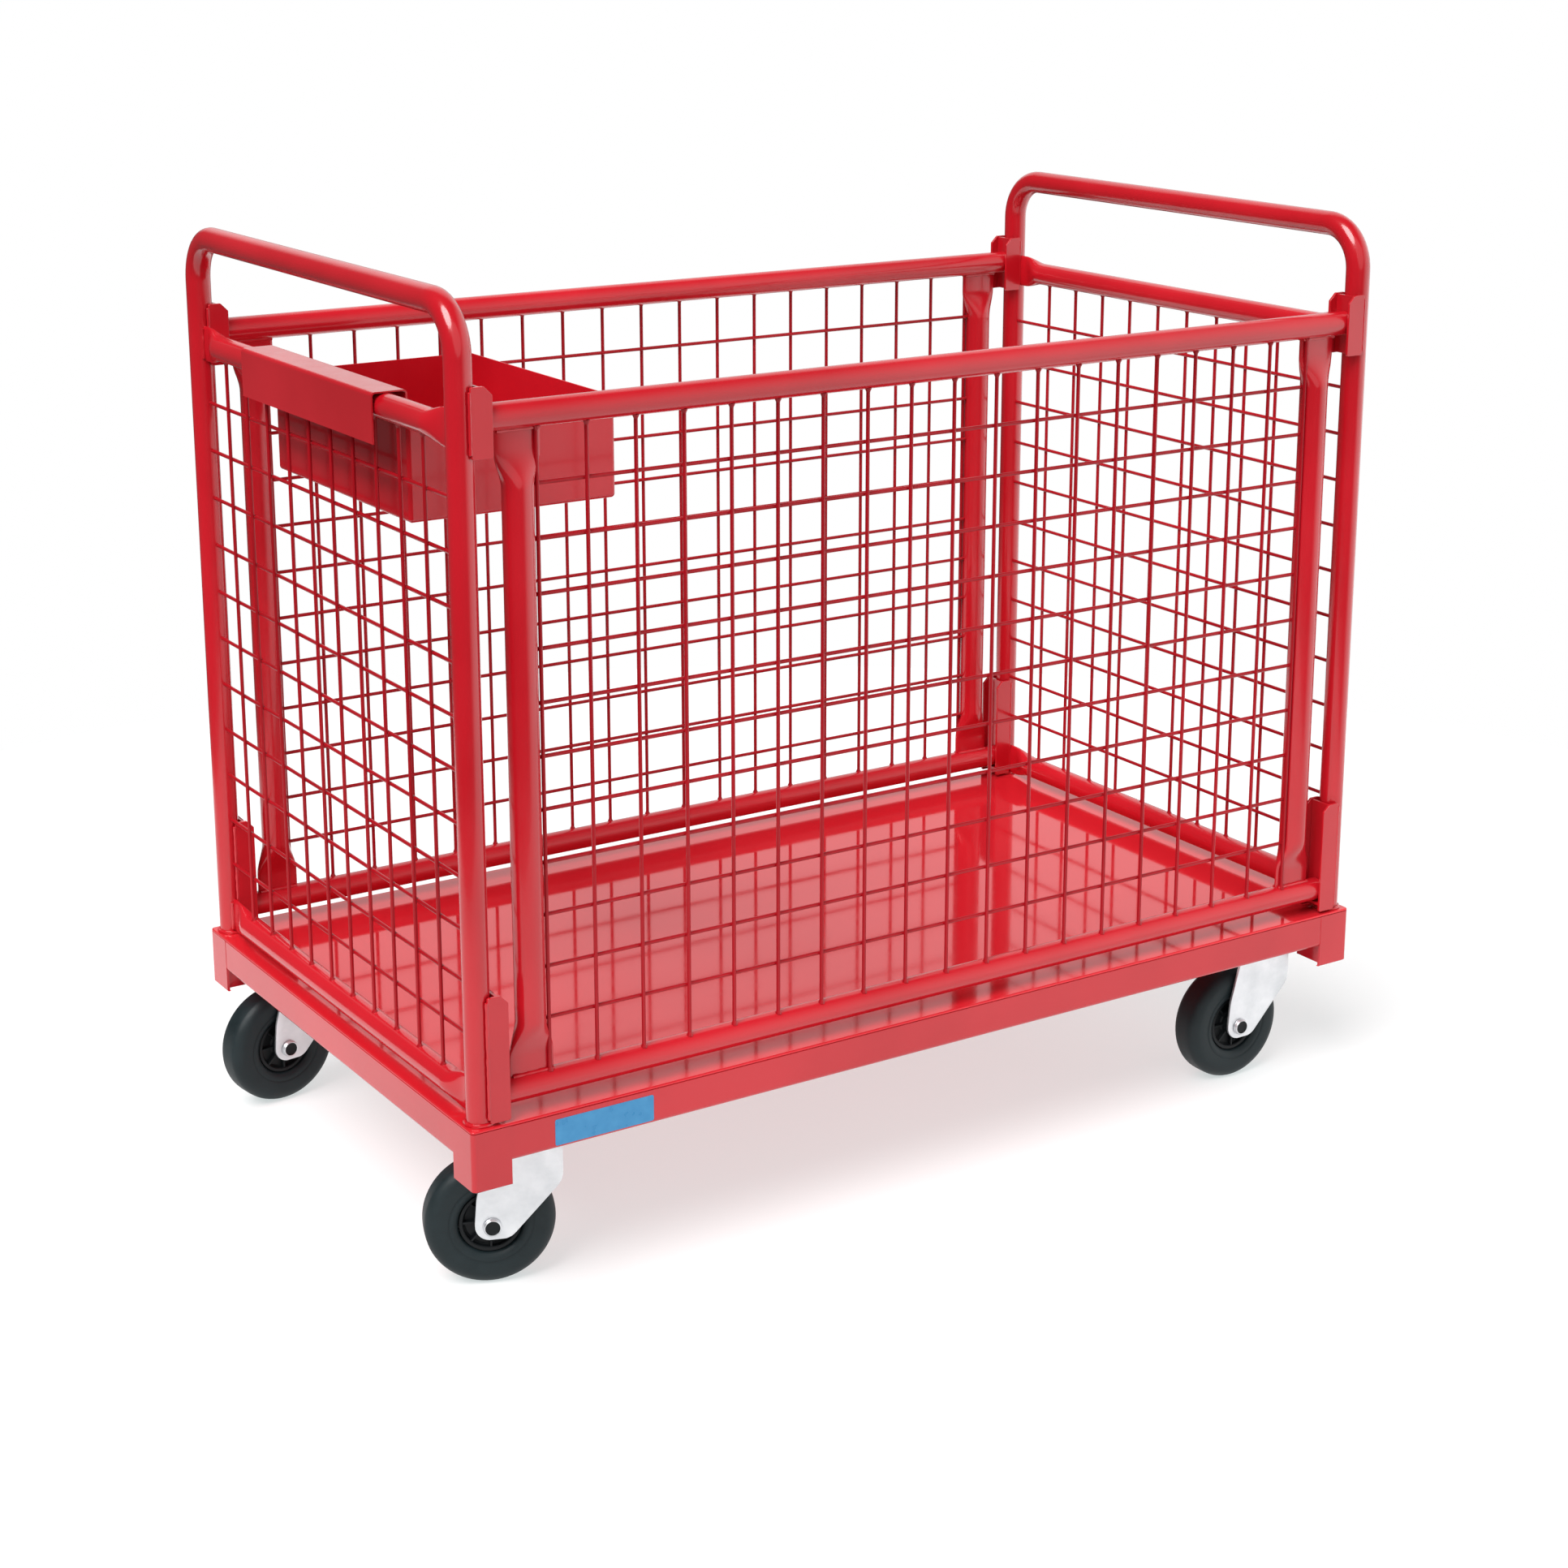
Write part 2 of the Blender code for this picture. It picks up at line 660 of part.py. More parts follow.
def wheel_meshes():
    """Tyre, hub and axle, turned about Y. A flat of the tyre rests on the floor."""
    grown = WHEEL_RADIUS / math.cos(math.pi / WHEEL_STEPS)
    half = WHEEL_WIDTH / 2
    seat = HUB_RADIUS + GAP
    half_profile = [(seat, half - TYRE_DISH), (grown - TREAD_SHOULDER, half),
                    (grown - SHOULDER_DEPTH, half - SHOULDER_SIDE),
                    (grown, half - TREAD_SHOULDER)]
    tyre = turned_mesh("wheel_tyre", mirrored(half_profile), WHEEL_STEPS, closed=True)
    half_profile = [(AXLE_BORE, HUB_WIDTH / 2), (BOSS_RADIUS, HUB_WIDTH / 2),
                    (HUB_RADIUS, HUB_RIM_WIDTH / 2)]
    hub = turned_mesh("wheel_hub", mirrored(half_profile), WHEEL_STEPS, closed=True)
    seat = FORK_INSIDE / 2 + SHEET + GAP
    half_profile = [(0, seat + AXLE_HEAD), (AXLE_HEAD_RADIUS, seat + AXLE_HEAD),
                    (AXLE_HEAD_RADIUS, seat), (AXLE_RADIUS, seat)]
    axle = turned_mesh("wheel_axle", mirrored(half_profile), HOLE_STEPS)
    half_step = Matrix.Rotation(math.pi / WHEEL_STEPS, 4, "Z")
    for mesh in (tyre, hub, axle):
        mesh.transform(ALONG_Y.to_4x4() @ half_step)
    return {"tyre": tyre, "hub": hub, "axle": axle}


def mirrored(half_profile):
    return half_profile + [(radius, -height) for radius, height in reversed(half_profile)]


def build_casters(parent, paints):
    plate, fork, wheel = plate_mesh(), fork_mesh(), wheel_meshes()
    for name, side in SIDES.items():
        for face, front in FACES.items():
            corner = face + "_" + name
            spot = (side * SWIVEL_X, front * SWIVEL_Y, 0)
            place(bpy.data.objects.new("caster_plate_" + corner, plate), parent,
                  paints["zinc"], spot)
            swivel = empty("caster_swivel_" + corner, spot, parent)
            swivel.rotation_euler.z = math.radians(CASTER_TURN[corner])
            place(bpy.data.objects.new("caster_fork_" + corner, fork), swivel, paints["zinc"])
            axle_point = (-TRAIL, 0, WHEEL_RADIUS)
            place(bpy.data.objects.new("wheel_axle_" + corner, wheel["axle"]), swivel,
                  paints["zinc"], axle_point)
            spin = empty("wheel_spin_" + corner, axle_point, swivel)
            place(bpy.data.objects.new("wheel_hub_" + corner, wheel["hub"]), spin, paints["hub"])
            place(bpy.data.objects.new("wheel_tyre_" + corner, wheel["tyre"]), spin,
                  paints["tyre"])


clear_scene()
PARTS = new_collection(MODEL)
CUTTERS = new_collection("cutters")
red = red_paint()
base = empty("base_middle", (BASE_X, 0, 0))
build_base(base, red)
for end_name, end_side in SIDES.items():
    build_end(end_name, end_side, base, red)
build_pockets(base, red)
for panel_name, panel_side in FACES.items():
    build_panel(panel_name, panel_side, base, red)
build_tray(base, red)
build_casters(base, {"zinc": zinc_plating(), "tyre": black_tyre(), "hub": dark_hub()})
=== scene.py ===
"""The looks of the wire-mesh roll cage container: round tubes with pressed ends, welded
wire, folded sheet, casters and their materials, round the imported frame."""

import json
import math
import random

import bmesh
import bpy
from mathutils import Matrix, Vector


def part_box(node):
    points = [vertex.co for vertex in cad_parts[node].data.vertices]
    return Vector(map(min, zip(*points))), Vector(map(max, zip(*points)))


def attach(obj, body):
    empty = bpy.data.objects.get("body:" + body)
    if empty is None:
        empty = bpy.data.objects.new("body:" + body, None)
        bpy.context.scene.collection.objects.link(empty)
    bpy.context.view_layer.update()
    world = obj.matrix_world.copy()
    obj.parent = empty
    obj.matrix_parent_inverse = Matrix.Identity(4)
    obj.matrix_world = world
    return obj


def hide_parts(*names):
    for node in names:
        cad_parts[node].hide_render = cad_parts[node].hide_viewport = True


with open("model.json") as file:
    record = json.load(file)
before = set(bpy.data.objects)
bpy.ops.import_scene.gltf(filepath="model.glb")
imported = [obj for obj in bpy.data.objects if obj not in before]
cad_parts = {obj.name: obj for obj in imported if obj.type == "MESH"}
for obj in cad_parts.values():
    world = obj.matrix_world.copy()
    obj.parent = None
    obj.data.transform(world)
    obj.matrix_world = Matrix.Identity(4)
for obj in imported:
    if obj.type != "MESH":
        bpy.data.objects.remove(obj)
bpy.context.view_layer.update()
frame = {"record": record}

CORNERS = [(face, end) for end in ("left", "right") for face in ("front", "rear")]
SIGN = {"left": -1, "right": 1, "front": -1, "rear": 1}
X, Y, Z = (Vector(axis) for axis in ((1, 0, 0), (0, 1, 0), (0, 0, 1)))


# ---- Sizes read from the frame

def box(node):
    low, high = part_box(node)
    return Vector(low), Vector(high)


def middle(node):
    low, high = box(node)
    return (low + high) / 2


def span(node):
    low, high = box(node)
    return high - low


deck_low, deck_high = box("deck_sheet")
DECK_SHEET = 0.002
BASE_X = (deck_low.x + deck_high.x) / 2
RIM_Z = deck_low.z + DECK_SHEET     # the top of the deck along its edge
TUBE_RADIUS = span("panel_front_top_rail").z / 2
STILE_RADIUS = span("panel_front_stile_left").x / 2
POST_X = middle("end_hoop_right").x - BASE_X
POST_Y = box("end_hoop_right")[1].y - TUBE_RADIUS
# The front right caster stands straight, so its box gives true widths.
WHEEL_RADIUS = span("wheel_tyre_front_left").z / 2
WHEEL_WIDTH = span("wheel_tyre_front_right").y
HUB_RADIUS = span("wheel_hub_front_right").z / 2
HUB_WIDTH = span("wheel_hub_front_right").y
AXLE_LENGTH = span("wheel_axle_front_right").y

JOINTS = {joint["name"]: joint for joint in frame["record"]["behaviour"]["joints"]}

# Sizes of the finer surface
PITCH = 0.050
WIRE_RADIUS = 0.0019
WIRE_LAYER = WIRE_RADIUS * 0.86     # from a mesh's middle plane to each layer of its wires
END_COLUMNS, PANEL_COLUMNS, MESH_ROWS = 10, 19, 11
HANDLE_BEND = 0.045
PRESSED_HALF = 0.0026       # half the thickness of a tube's pressed end
RAIL_END_HALF = 0.0180      # half the width of an end rail's pressed ends
STILE_END_HALF = 0.0225
BEAD_STEP = 0.004           # between the ripples of a weld bead
SHEET = 0.003
FOLD_RADIUS = 0.0045        # outside a fold or a corner of the base's sheet
DECK_EDGE = 0.0012
FOOT_LIP = 0.0009
FOOT_BOX = 0.038            # outside the box in a foot
FOOT_BOX_LOW, FOOT_BOX_HIGH = 0.0027, 0.0275        # above the foot's lower edge
LABEL_DEPTH = 0.0003        # the skirt's face stands back by a label's thickness
LABEL_X = (-0.4535, -0.3485)        # from BASE_X
LABEL_Z = (-0.0335, -0.0075)        # from RIM_Z
LABEL_SETBACK = 0.00002             # keeps the label inside the deck's outline
POCKET_CHAMFER = 0.008
POCKET_WEB = 0.0085         # from a pocket's mouth to its web
POCKET_CLEARANCE = 0.0003
TRAY_SHEET = 0.0015
TRAY_BEND = 0.004
TRAY_CORNER = 0.0035
TRAY_RIM_ROUND = 0.0004
TRAY_BACK = -0.503                  # from BASE_X
TRAY_TOP, HOOK_TIP = 0.628, 0.607   # above RIM_Z


# ---- Mesh building

class Shape:
    """Points and faces of one piece, gathered before its mesh is made."""

    def __init__(self):
        self.points = []
        self.faces = []

    def add(self, points, faces):
        start = len(self.points)
        self.points += [Vector(point) for point in points]
        self.faces += [tuple(start + i for i in face) for face in faces]

    def skin(self, rings, closed_ring=True, closed_run=False, caps=True):
        """Faces through rows of points that have the same count."""
        count = len(rings[0])
        points = [point for ring in rings for point in ring]
        faces = []
        runs = len(rings) if closed_run else len(rings) - 1
        steps = count if closed_ring else count - 1
        for r in range(runs):
            near, far = r * count, (r + 1) % len(rings) * count
            for i in range(steps):
                j = (i + 1) % count
                faces.append((near + i, near + j, far + j, far + i))
        if caps and not closed_run:
            faces.append(tuple(reversed(range(count))))
            faces.append(tuple(range((len(rings) - 1) * count, len(rings) * count)))
        self.add(points, faces)

    def sweep(self, path, section, closed=False):
        """A section of (side, up) points, or one for each path point, along a path."""
        path = [Vector(point) for point in path]
        count = len(path)
        rings = []
        side = None
        for i, point in enumerate(path):
            if closed:
                ahead = path[(i + 1) % count] - path[i - 1]
            else:
                ahead = path[min(i + 1, count - 1)] - path[max(i - 1, 0)]
            ahead.normalize()
            if side is None:
                guide = Z if abs(ahead.z) < 0.9 else Y
                side = ahead.cross(guide).normalized()
            side = (side - ahead * side.dot(ahead)).normalized()
            up = side.cross(ahead)
            ring = section(i) if callable(section) else section
            rings.append([point + side * u + up * v for u, v in ring])
        self.skin(rings, closed_run=closed)

    def turn(self, profile, centre, axis, steps, closed=False):
        """A profile of (radius, height) points turned about an axis through a centre."""
        axis = axis.normalized()
        side = axis.cross(Z if abs(axis.z) < 0.9 else X).normalized()
        up = axis.cross(side)
        rings = []
        for k in range(steps):
            a = 2 * math.pi * k / steps
            spoke = side * math.cos(a) + up * math.sin(a)
            rings.append([centre + spoke * r + axis * h for r, h in profile])
        self.skin(rings, closed_ring=closed, closed_run=True)


def circle(radius, steps=24):
    return [(radius * math.cos(2 * math.pi * i / steps), radius * math.sin(2 * math.pi * i / steps))
            for i in range(steps)]


def arc(centre, radius, start, end, steps):
    angles = [math.radians(start + (end - start) * i / steps) for i in range(steps + 1)]
    return [(centre[0] + radius * math.cos(a), centre[1] + radius * math.sin(a)) for a in angles]


def rectangle(left, low, right, high):
    return [(left, low), (right, low), (right, high), (left, high)]


def mirrored(profile):
    """A (radius, height) profile, followed by its mirror image on the other side of 0."""
    return profile + [(r, -h) for r, h in reversed(profile)]


def rounded(outline, radii, steps=4):
    """An outline with its corners rounded, one radius for each corner or for all."""
    if not isinstance(radii, (list, tuple)):
        radii = [radii] * len(outline)
    result = []
    for i, (corner, radius) in enumerate(zip(outline, radii)):
        here = Vector(corner)
        before = Vector(outline[i - 1]) - here
        after = Vector(outline[(i + 1) % len(outline)]) - here
        if radius <= 0:
            result.append(tuple(here))
            continue
        before.normalize()
        after.normalize()
        half = math.acos(max(-1, min(1, before.dot(after)))) / 2
        reach = radius / math.tan(half)
        centre = here + (before + after).normalized() * radius / math.sin(half)
        start, end = here + before * reach - centre, here + after * reach - centre
        first = math.atan2(start.y, start.x)
        sweep = math.atan2(end.y, end.x) - first
        sweep = (sweep + math.pi) % (2 * math.pi) - math.pi
        for k in range(steps + 1):
            a = first + sweep * k / steps
            result.append((centre.x + radius * math.cos(a), centre.y + radius * math.sin(a)))
    return result


def finish_mesh(name, shape, angle):
    """A smooth mesh of a shape, with its edges sharp where they turn by more than an angle."""
    mesh = bpy.data.meshes.new(name)
    mesh.from_pydata([tuple(point) for point in shape.points], [], shape.faces)
    work = bmesh.new()
    work.from_mesh(mesh)
    bmesh.ops.remove_doubles(work, verts=work.verts, dist=0.000005)
    bmesh.ops.recalc_face_normals(work, faces=work.faces)
    work.to_mesh(mesh)
    work.free()
    mesh.shade_smooth()
    mesh.set_sharp_from_angle(angle=math.radians(angle))
    return mesh


def piece(name, shape, look, body, nodes=(), bevel=0.0, angle=35):
    """Make an object of a shape, with its finish, its body and the nodes it stands for."""
    item = bpy.data.objects.new(name, finish_mesh(name, shape, angle))
    bpy.context.scene.collection.objects.link(item)
    item.data.materials.append(LOOKS[look])
    if bevel:
        round_edges(item, bevel)
    else:
        item.modifiers.new("normals", "WEIGHTED_NORMAL").keep_sharp = True
    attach(item, body)
    if nodes:
        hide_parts(*nodes)
    return item


def round_edges(item, width, angle=40):
    edge = item.modifiers.new("edges", "BEVEL")
    edge.width = width
    edge.segments = 2
    edge.limit_method = "ANGLE"
    edge.angle_limit = math.radians(angle)
    edge.harden_normals = True


# ---- Materials

def noise_node(tree, coordinates, scale, detail=2.0, roughness=0.5, stretch=None):
    node = tree.nodes.new("ShaderNodeTexNoise")
    node.inputs["Scale"].default_value = scale
    node.inputs["Detail"].default_value = detail
    node.inputs["Roughness"].default_value = roughness
    source = coordinates
    if stretch:
        mapping = tree.nodes.new("ShaderNodeMapping")
        mapping.inputs["Scale"].default_value = stretch
        tree.links.new(coordinates, mapping.inputs["Vector"])
        source = mapping.outputs["Vector"]
    tree.links.new(source, node.inputs["Vector"])
    return node.outputs["Fac"]


def colour_between(tree, shader, factor, dark, light, start=0.3, end=0.7):
    """Base colour that goes from dark to light as a factor goes from start to end."""
    node = tree.nodes.new("ShaderNodeValToRGB")
    stops = ((start, dark), (end, light))
    for element, (position, colour) in zip(node.color_ramp.elements, stops):
        element.position = position
        element.color = (*colour, 1.0)
    tree.links.new(factor, node.inputs["Fac"])
    tree.links.new(node.outputs["Color"], shader.inputs["Base Color"])


def roughness_between(tree, shader, factor, low, high):
    """Roughness that goes from low to high over the middle of a factor's range."""
    node = tree.nodes.new("ShaderNodeMapRange")
    node.inputs["From Min"].default_value = 0.3
    node.inputs["From Max"].default_value = 0.7
    node.inputs["To Min"].default_value = low
    node.inputs["To Max"].default_value = high
    tree.links.new(factor, node.inputs["Value"])
    tree.links.new(node.outputs["Result"], shader.inputs["Roughness"])


def add_bump(tree, shader, heights, distance):
    """Chain one bump for each (height, strength)."""
    normal = None
    for height, strength in heights:
        bump = tree.nodes.new("ShaderNodeBump")
        bump.inputs["Strength"].default_value = strength
        bump.inputs["Distance"].default_value = distance
        tree.links.new(height, bump.inputs["Height"])
        if normal is not None:
            tree.links.new(normal, bump.inputs["Normal"])
        normal = bump.outputs["Normal"]
    tree.links.new(normal, shader.inputs["Normal"])


def new_look(name):
    made = bpy.data.materials.new(name)
    made.use_nodes = True
    tree = made.node_tree
    shader = tree.nodes["Principled BSDF"]
    coordinates = tree.nodes.new("ShaderNodeTexCoord").outputs["Object"]
    return made, tree, shader, coordinates


def paint_look(name="red_paint", deep=(0.47, 0.005, 0.012), full=(0.58, 0.010, 0.020),
               rough=(0.16, 0.26), gloss=0.5):
    """Glossy red powder coat: a little orange peel, faint patches and handling marks."""
    made, tree, shader, coordinates = new_look(name)
    patches = noise_node(tree, coordinates, 5.0, 3.0)
    colour_between(tree, shader, patches, deep, full, 0.32, 0.68)
    marks = noise_node(tree, coordinates, 60.0, 6.0, 0.7, (1.0, 1.0, 0.35))
    roughness_between(tree, shader, marks, *rough)
    peel = noise_node(tree, coordinates, 420.0, 1.0)
    ripple = noise_node(tree, coordinates, 38.0, 2.0)
    add_bump(tree, shader, [(peel, 0.10), (ripple, 0.05)], 0.0004)
    shader.inputs["Coat Weight"].default_value = 0.7 * gloss
    shader.inputs["Coat Roughness"].default_value = 0.08
    shader.inputs["Specular IOR Level"].default_value = gloss
    return made


def deck_look():
    """The deck's coat, laid thick on a flat sheet: mirror-smooth, with fine scuffs; its red is set
    lighter than the other red paint and partly metallic, as painted sheen.
    """
    made, tree, shader, coordinates = new_look("red_deck_sheen")
    patches = noise_node(tree, coordinates, 3.0, 3.0)
    # Painted sheen: the deck's red is lighter than the other paint, standing for the white room
    # that the glossy deck reflects.
    colour_between(tree, shader, patches, (0.64, 0.014, 0.024), (0.72, 0.022, 0.034))
    scuffs = noise_node(tree, coordinates, 45.0, 8.0, 0.75, (0.25, 1.0, 1.0))
    roughness_between(tree, shader, scuffs, 0.04, 0.10)
    wave = noise_node(tree, coordinates, 7.0, 1.0)
    peel = noise_node(tree, coordinates, 260.0, 1.0)
    add_bump(tree, shader, [(wave, 0.03), (peel, 0.02)], 0.0004)
    # Painted sheen: a metallic share tints the deck's reflection red and brightens it.
    shader.inputs["Metallic"].default_value = 0.22
    shader.inputs["Coat Weight"].default_value = 0.1
    shader.inputs["Coat Roughness"].default_value = 0.03
    shader.inputs["Specular IOR Level"].default_value = 0.5
    return made


def zinc_look():
    """Bright zinc plating: soft spangle and rolling lines, slightly clouded."""
    made, tree, shader, coordinates = new_look("zinc_plating")
    clouds = noise_node(tree, coordinates, 28.0, 4.0, 0.6)
    colour_between(tree, shader, clouds, (0.66, 0.68, 0.70), (0.84, 0.85, 0.87))
    lines = noise_node(tree, coordinates, 70.0, 5.0, 0.7, (0.2, 1.0, 4.0))
    roughness_between(tree, shader, lines, 0.30, 0.50)
    grain = noise_node(tree, coordinates, 600.0, 2.0)
    add_bump(tree, shader, [(lines, 0.05), (grain, 0.08)], 0.0003)
    shader.inputs["Metallic"].default_value = 0.85
    return made


def tyre_look():
    """Solid rubber: near black, dusty on the tread and finely grained."""
    made, tree, shader, coordinates = new_look("black_tyre")
    dust = noise_node(tree, coordinates, 35.0, 6.0, 0.65)
    colour_between(tree, shader, dust, (0.005, 0.011, 0.013), (0.012, 0.021, 0.024), 0.35, 0.75)
    roughness_between(tree, shader, dust, 0.42, 0.62)
    grain = noise_node(tree, coordinates, 900.0, 3.0)
    add_bump(tree, shader, [(grain, 0.25)], 0.0004)
    shader.inputs["Specular IOR Level"].default_value = 0.30
    return made


def hub_look():
    """Moulded dark nylon with a fine spark texture."""
    made, tree, shader, coordinates = new_look("dark_hub")
    tone = noise_node(tree, coordinates, 50.0, 3.0)
    colour_between(tree, shader, tone, (0.003, 0.004, 0.005), (0.007, 0.009, 0.010))
    roughness_between(tree, shader, tone, 0.45, 0.60)
    grain = noise_node(tree, coordinates, 1400.0, 2.0)
    add_bump(tree, shader, [(grain, 0.2)], 0.0003)
    shader.inputs["Specular IOR Level"].default_value = 0.25
    return made


def label_look():
    """A blank vinyl label."""
    made, tree, shader, coordinates = new_look("blank_label")
    tone = noise_node(tree, coordinates, 90.0, 3.0)
    colour_between(tree, shader, tone, (0.03, 0.22, 0.46), (0.05, 0.27, 0.52))
    roughness_between(tree, shader, tone, 0.25, 0.4)
    return made


# Looks that stand for a slot with another name
LOOKS = {
    "red_paint": paint_look(),
    # Painted shade: the wires wear the same red coat, given a darker base colour here as a shaded
    # copy of the red paint.
    "red_wire_shaded": paint_look("red_wire_shaded", (0.31, 0.003, 0.008), (0.40, 0.005, 0.012),
                           (0.28, 0.38), 0.2),
    "red_deck_sheen": deck_look(),
    "zinc_plating": zinc_look(),
    "black_tyre": tyre_look(),
    "dark_hub": hub_look(),
    "blank_label": label_look(),
}


# ---- Base

def run_of(outline, turn, low, high, shape):
    """An outline extruded from low to high along the axis that the turn gives."""
    ends = [[turn @ Vector((u, v, w)) for u, v in outline] for w in (low, high)]
    shape.skin(ends)


ALONG_X = Matrix(((0, 0, 1), (1, 0, 0), (0, 1, 0)))
ALONG_Y = Matrix(((1, 0, 0), (0, 0, 1), (0, 1, 0)))
ALONG_Z = Matrix.Identity(3)


def weld_bead(shape, path, radius, closed=False, seed=1):
    """A rippled weld bead along a path."""
    rng = random.Random(seed)
    sizes = [radius * (1 + 0.14 * math.sin(1.9 * i) + rng.uniform(-0.12, 0.12))
             for i in range(len(path))]
    shape.sweep(path, lambda i: circle(sizes[i], 8), closed=closed)


def ring_path(centre, radius):
    """A level circle round a centre, for a closed bead."""
    return [centre + Y * u - X * v for u, v in circle(radius, 40)]


def line_path(start, end):
    """Evenly spaced points from start to end, for a straight bead."""
    start, end = Vector(start), Vector(end)
    count = max(2, int((end - start).length / BEAD_STEP))
    return [start.lerp(end, i / count) for i in range(count + 1)]


def level_ring(low, high, inset, radius, z):
    """A level rectangle with rounded corners, drawn in by an inset."""
    outline = rectangle(low[0] + inset, low[1] + inset, high[0] - inset, high[1] - inset)
    return [Vector((x, y, z)) for x, y in rounded(outline, radius)]


def make_deck():
    """The deck sheet, with its edge broken, over the skirt."""
    low_z, high_z = deck_low.z, deck_high.z
    levels = [(0.0006, low_z), (0, low_z + 0.0005)]
    levels += [(DECK_EDGE * (1 - math.cos(a)), high_z - DECK_EDGE + DECK_EDGE * math.sin(a))
               for a in (math.pi * k / 8 for k in range(5))]
    # One more ring on the flat, so that the rounded edge doesn't tilt the top's normals
    levels.append((DECK_EDGE + 0.001, high_z))
    shape = Shape()
    shape.skin([level_ring(deck_low, deck_high, inset, FOLD_RADIUS - inset, z)
                for inset, z in levels])
    piece("deck_sheet_coated", shape, "red_deck_sheen", "root", ["deck_sheet"])


def make_skirt():
    """Folded rails with a rounded lower bend, which end inside the feet."""
    foot_x = box("corner_foot_front_right")[0].x
    foot_y = box("corner_foot_rear_left")[0].y
    for face in ("front", "rear", "left", "right"):
        node = "base_rail_" + face
        low, high = box(node)
        along_x = face in ("front", "rear")
        inward = -SIGN[face]
        outer = {"front": low.y, "rear": high.y, "left": low.x, "right": high.x}[face]
        outer += inward * LABEL_DEPTH
        web = outer + inward * SHEET
        flange = outer + inward * (high.y - low.y if along_x else high.x - low.x)
        outline = [(outer, low.z), (flange, low.z), (flange, low.z + SHEET), (web, low.z + SHEET),
                   (web, high.z), (outer, high.z)]
        outline = rounded(outline, [FOLD_RADIUS, 0.0012, 0.0012, 0.0016, 0.0008, 0.0010])
        shape = Shape()
        if along_x:
            run_of(outline, ALONG_X, 2 * BASE_X - foot_x, foot_x, shape)
        else:
            run_of(outline, ALONG_Y, -foot_y, foot_y, shape)
        piece(node + "_folded", shape, "red_paint", "root", [node], angle=30)


def make_foot(face, end):
    """An angle round a corner of the base, with a box inside its upper part."""
    node = "corner_foot_" + face + "_" + end
    low, high = box(node)
    size = high - low
    x = high.x if end == "right" else low.x
    y = high.y if face == "rear" else low.y
    inward_x, inward_y = -SIGN[end], -SIGN[face]

    def from_corner(points):
        return [(x + inward_x * u, y + inward_y * v) for u, v in points]

    outline = from_corner([(0, 0), (size.x, 0), (size.x, SHEET), (SHEET, SHEET), (SHEET, size.y),
                           (0, size.y)])
    outline = rounded(outline, [FOLD_RADIUS, 0, 0, 0.002, 0, 0], 5)
    shape = Shape()
    shape.skin([[Vector((u + inward_x * inset, v + inward_y * inset, z)) for u, v in outline]
                for inset, z in ((FOOT_LIP, low.z), (0, low.z + FOOT_LIP), (0, high.z))])
    skirt_low = box("base_rail_front")[0].z
    for u, v in from_corner([(size.x, SHEET), (SHEET, size.y)]):
        path = line_path((u, v, skirt_low + 0.004), (u, v, high.z - 0.003))
        weld_bead(shape, path, 0.0016, seed=len(node))
    far, near, lap = FOOT_BOX, FOOT_BOX - SHEET, SHEET / 2
    walls = from_corner([(far, lap), (far, far), (lap, far), (lap, near), (near, near),
                         (near, lap)])
    run_of(walls, ALONG_Z, low.z + FOOT_BOX_LOW, low.z + FOOT_BOX_HIGH, shape)
    piece(node + "_angle", shape, "red_paint", "root", [node], angle=30)


def make_beam(end):
    """A channel under the deck, open upwards, that carries two casters."""
    node = "caster_beam_" + end
    low, high = box(node)
    outline = [(low.x, low.z), (high.x, low.z), (high.x, high.z), (high.x - SHEET, high.z),
               (high.x - SHEET, low.z + SHEET), (low.x + SHEET, low.z + SHEET),
               (low.x + SHEET, high.z), (low.x, high.z)]
    outline = rounded(outline, [0.004, 0.004, 0.0008, 0.0008, 0.0015, 0.0015, 0.0008, 0.0008])
    shape = Shape()
    run_of(outline, ALONG_Y, low.y, high.y, shape)
    for y in (low.y, high.y):
        for x in (low.x, high.x):
            path = line_path((x, y, low.z + 0.003), (x, y, high.z - 0.002))
            weld_bead(shape, path, 0.0016, seed=7)
    piece(node + "_channel", shape, "red_paint", "root", [node], angle=30)


def make_label():
    """A blank label on the front skirt."""
    left, right = (BASE_X + x for x in LABEL_X)
    low, high = (RIM_Z + z for z in LABEL_Z)
    outline = rounded(rectangle(left, low, right, high), 0.002)
    shape = Shape()
    run_of(outline, ALONG_Y, deck_low.y + LABEL_SETBACK, deck_low.y + 2 * LABEL_DEPTH, shape)
    piece("blank_label", shape, "blank_label", "root")


# ---- Tubes

def pressed_section(t, radius, half_width):
    """From pressed flat, at t = 0, to round, at t = 1; the wide way is up."""
    smooth = t * t * (3 - 2 * t)
    thick = PRESSED_HALF + (radius - PRESSED_HALF) * smooth
    wide = half_width + (radius - half_width) * smooth ** 1.2
    square = 0.55 + 0.45 * smooth       # under 1, the flat sides meet squarer edges
    points = []
    steps = 28
    for i in range(steps):
        a = 2 * math.pi * (i + 0.5) / steps
        c, s = math.cos(a), math.sin(a)
        points.append((thick * math.copysign(abs(c) ** square, c), wide * math.copysign(abs(s), s)))
    return points


def pressed_tube(shape, start, end, radius, half_width, flat, taper, wide_axis):
    """A straight tube with both ends pressed flat, wide along the given axis."""
    start, end = Vector(start), Vector(end)
    run = end - start
    ahead = run.normalized()
    thin_axis = ahead.cross(wide_axis).normalized()
    rings = []
    steps = 12
    stations = [(0, 0), (flat, 0)] + [(flat + taper * k / steps, k / steps)
                                      for k in range(1, steps + 1)]
    stations += [(run.length - d, t) for d, t in reversed(stations)]
    for distance, t in stations:
        centre = start + ahead * distance
        rings.append([centre + thin_axis * u + wide_axis * v
                      for u, v in pressed_section(t, radius, half_width)])
    shape.skin(rings)


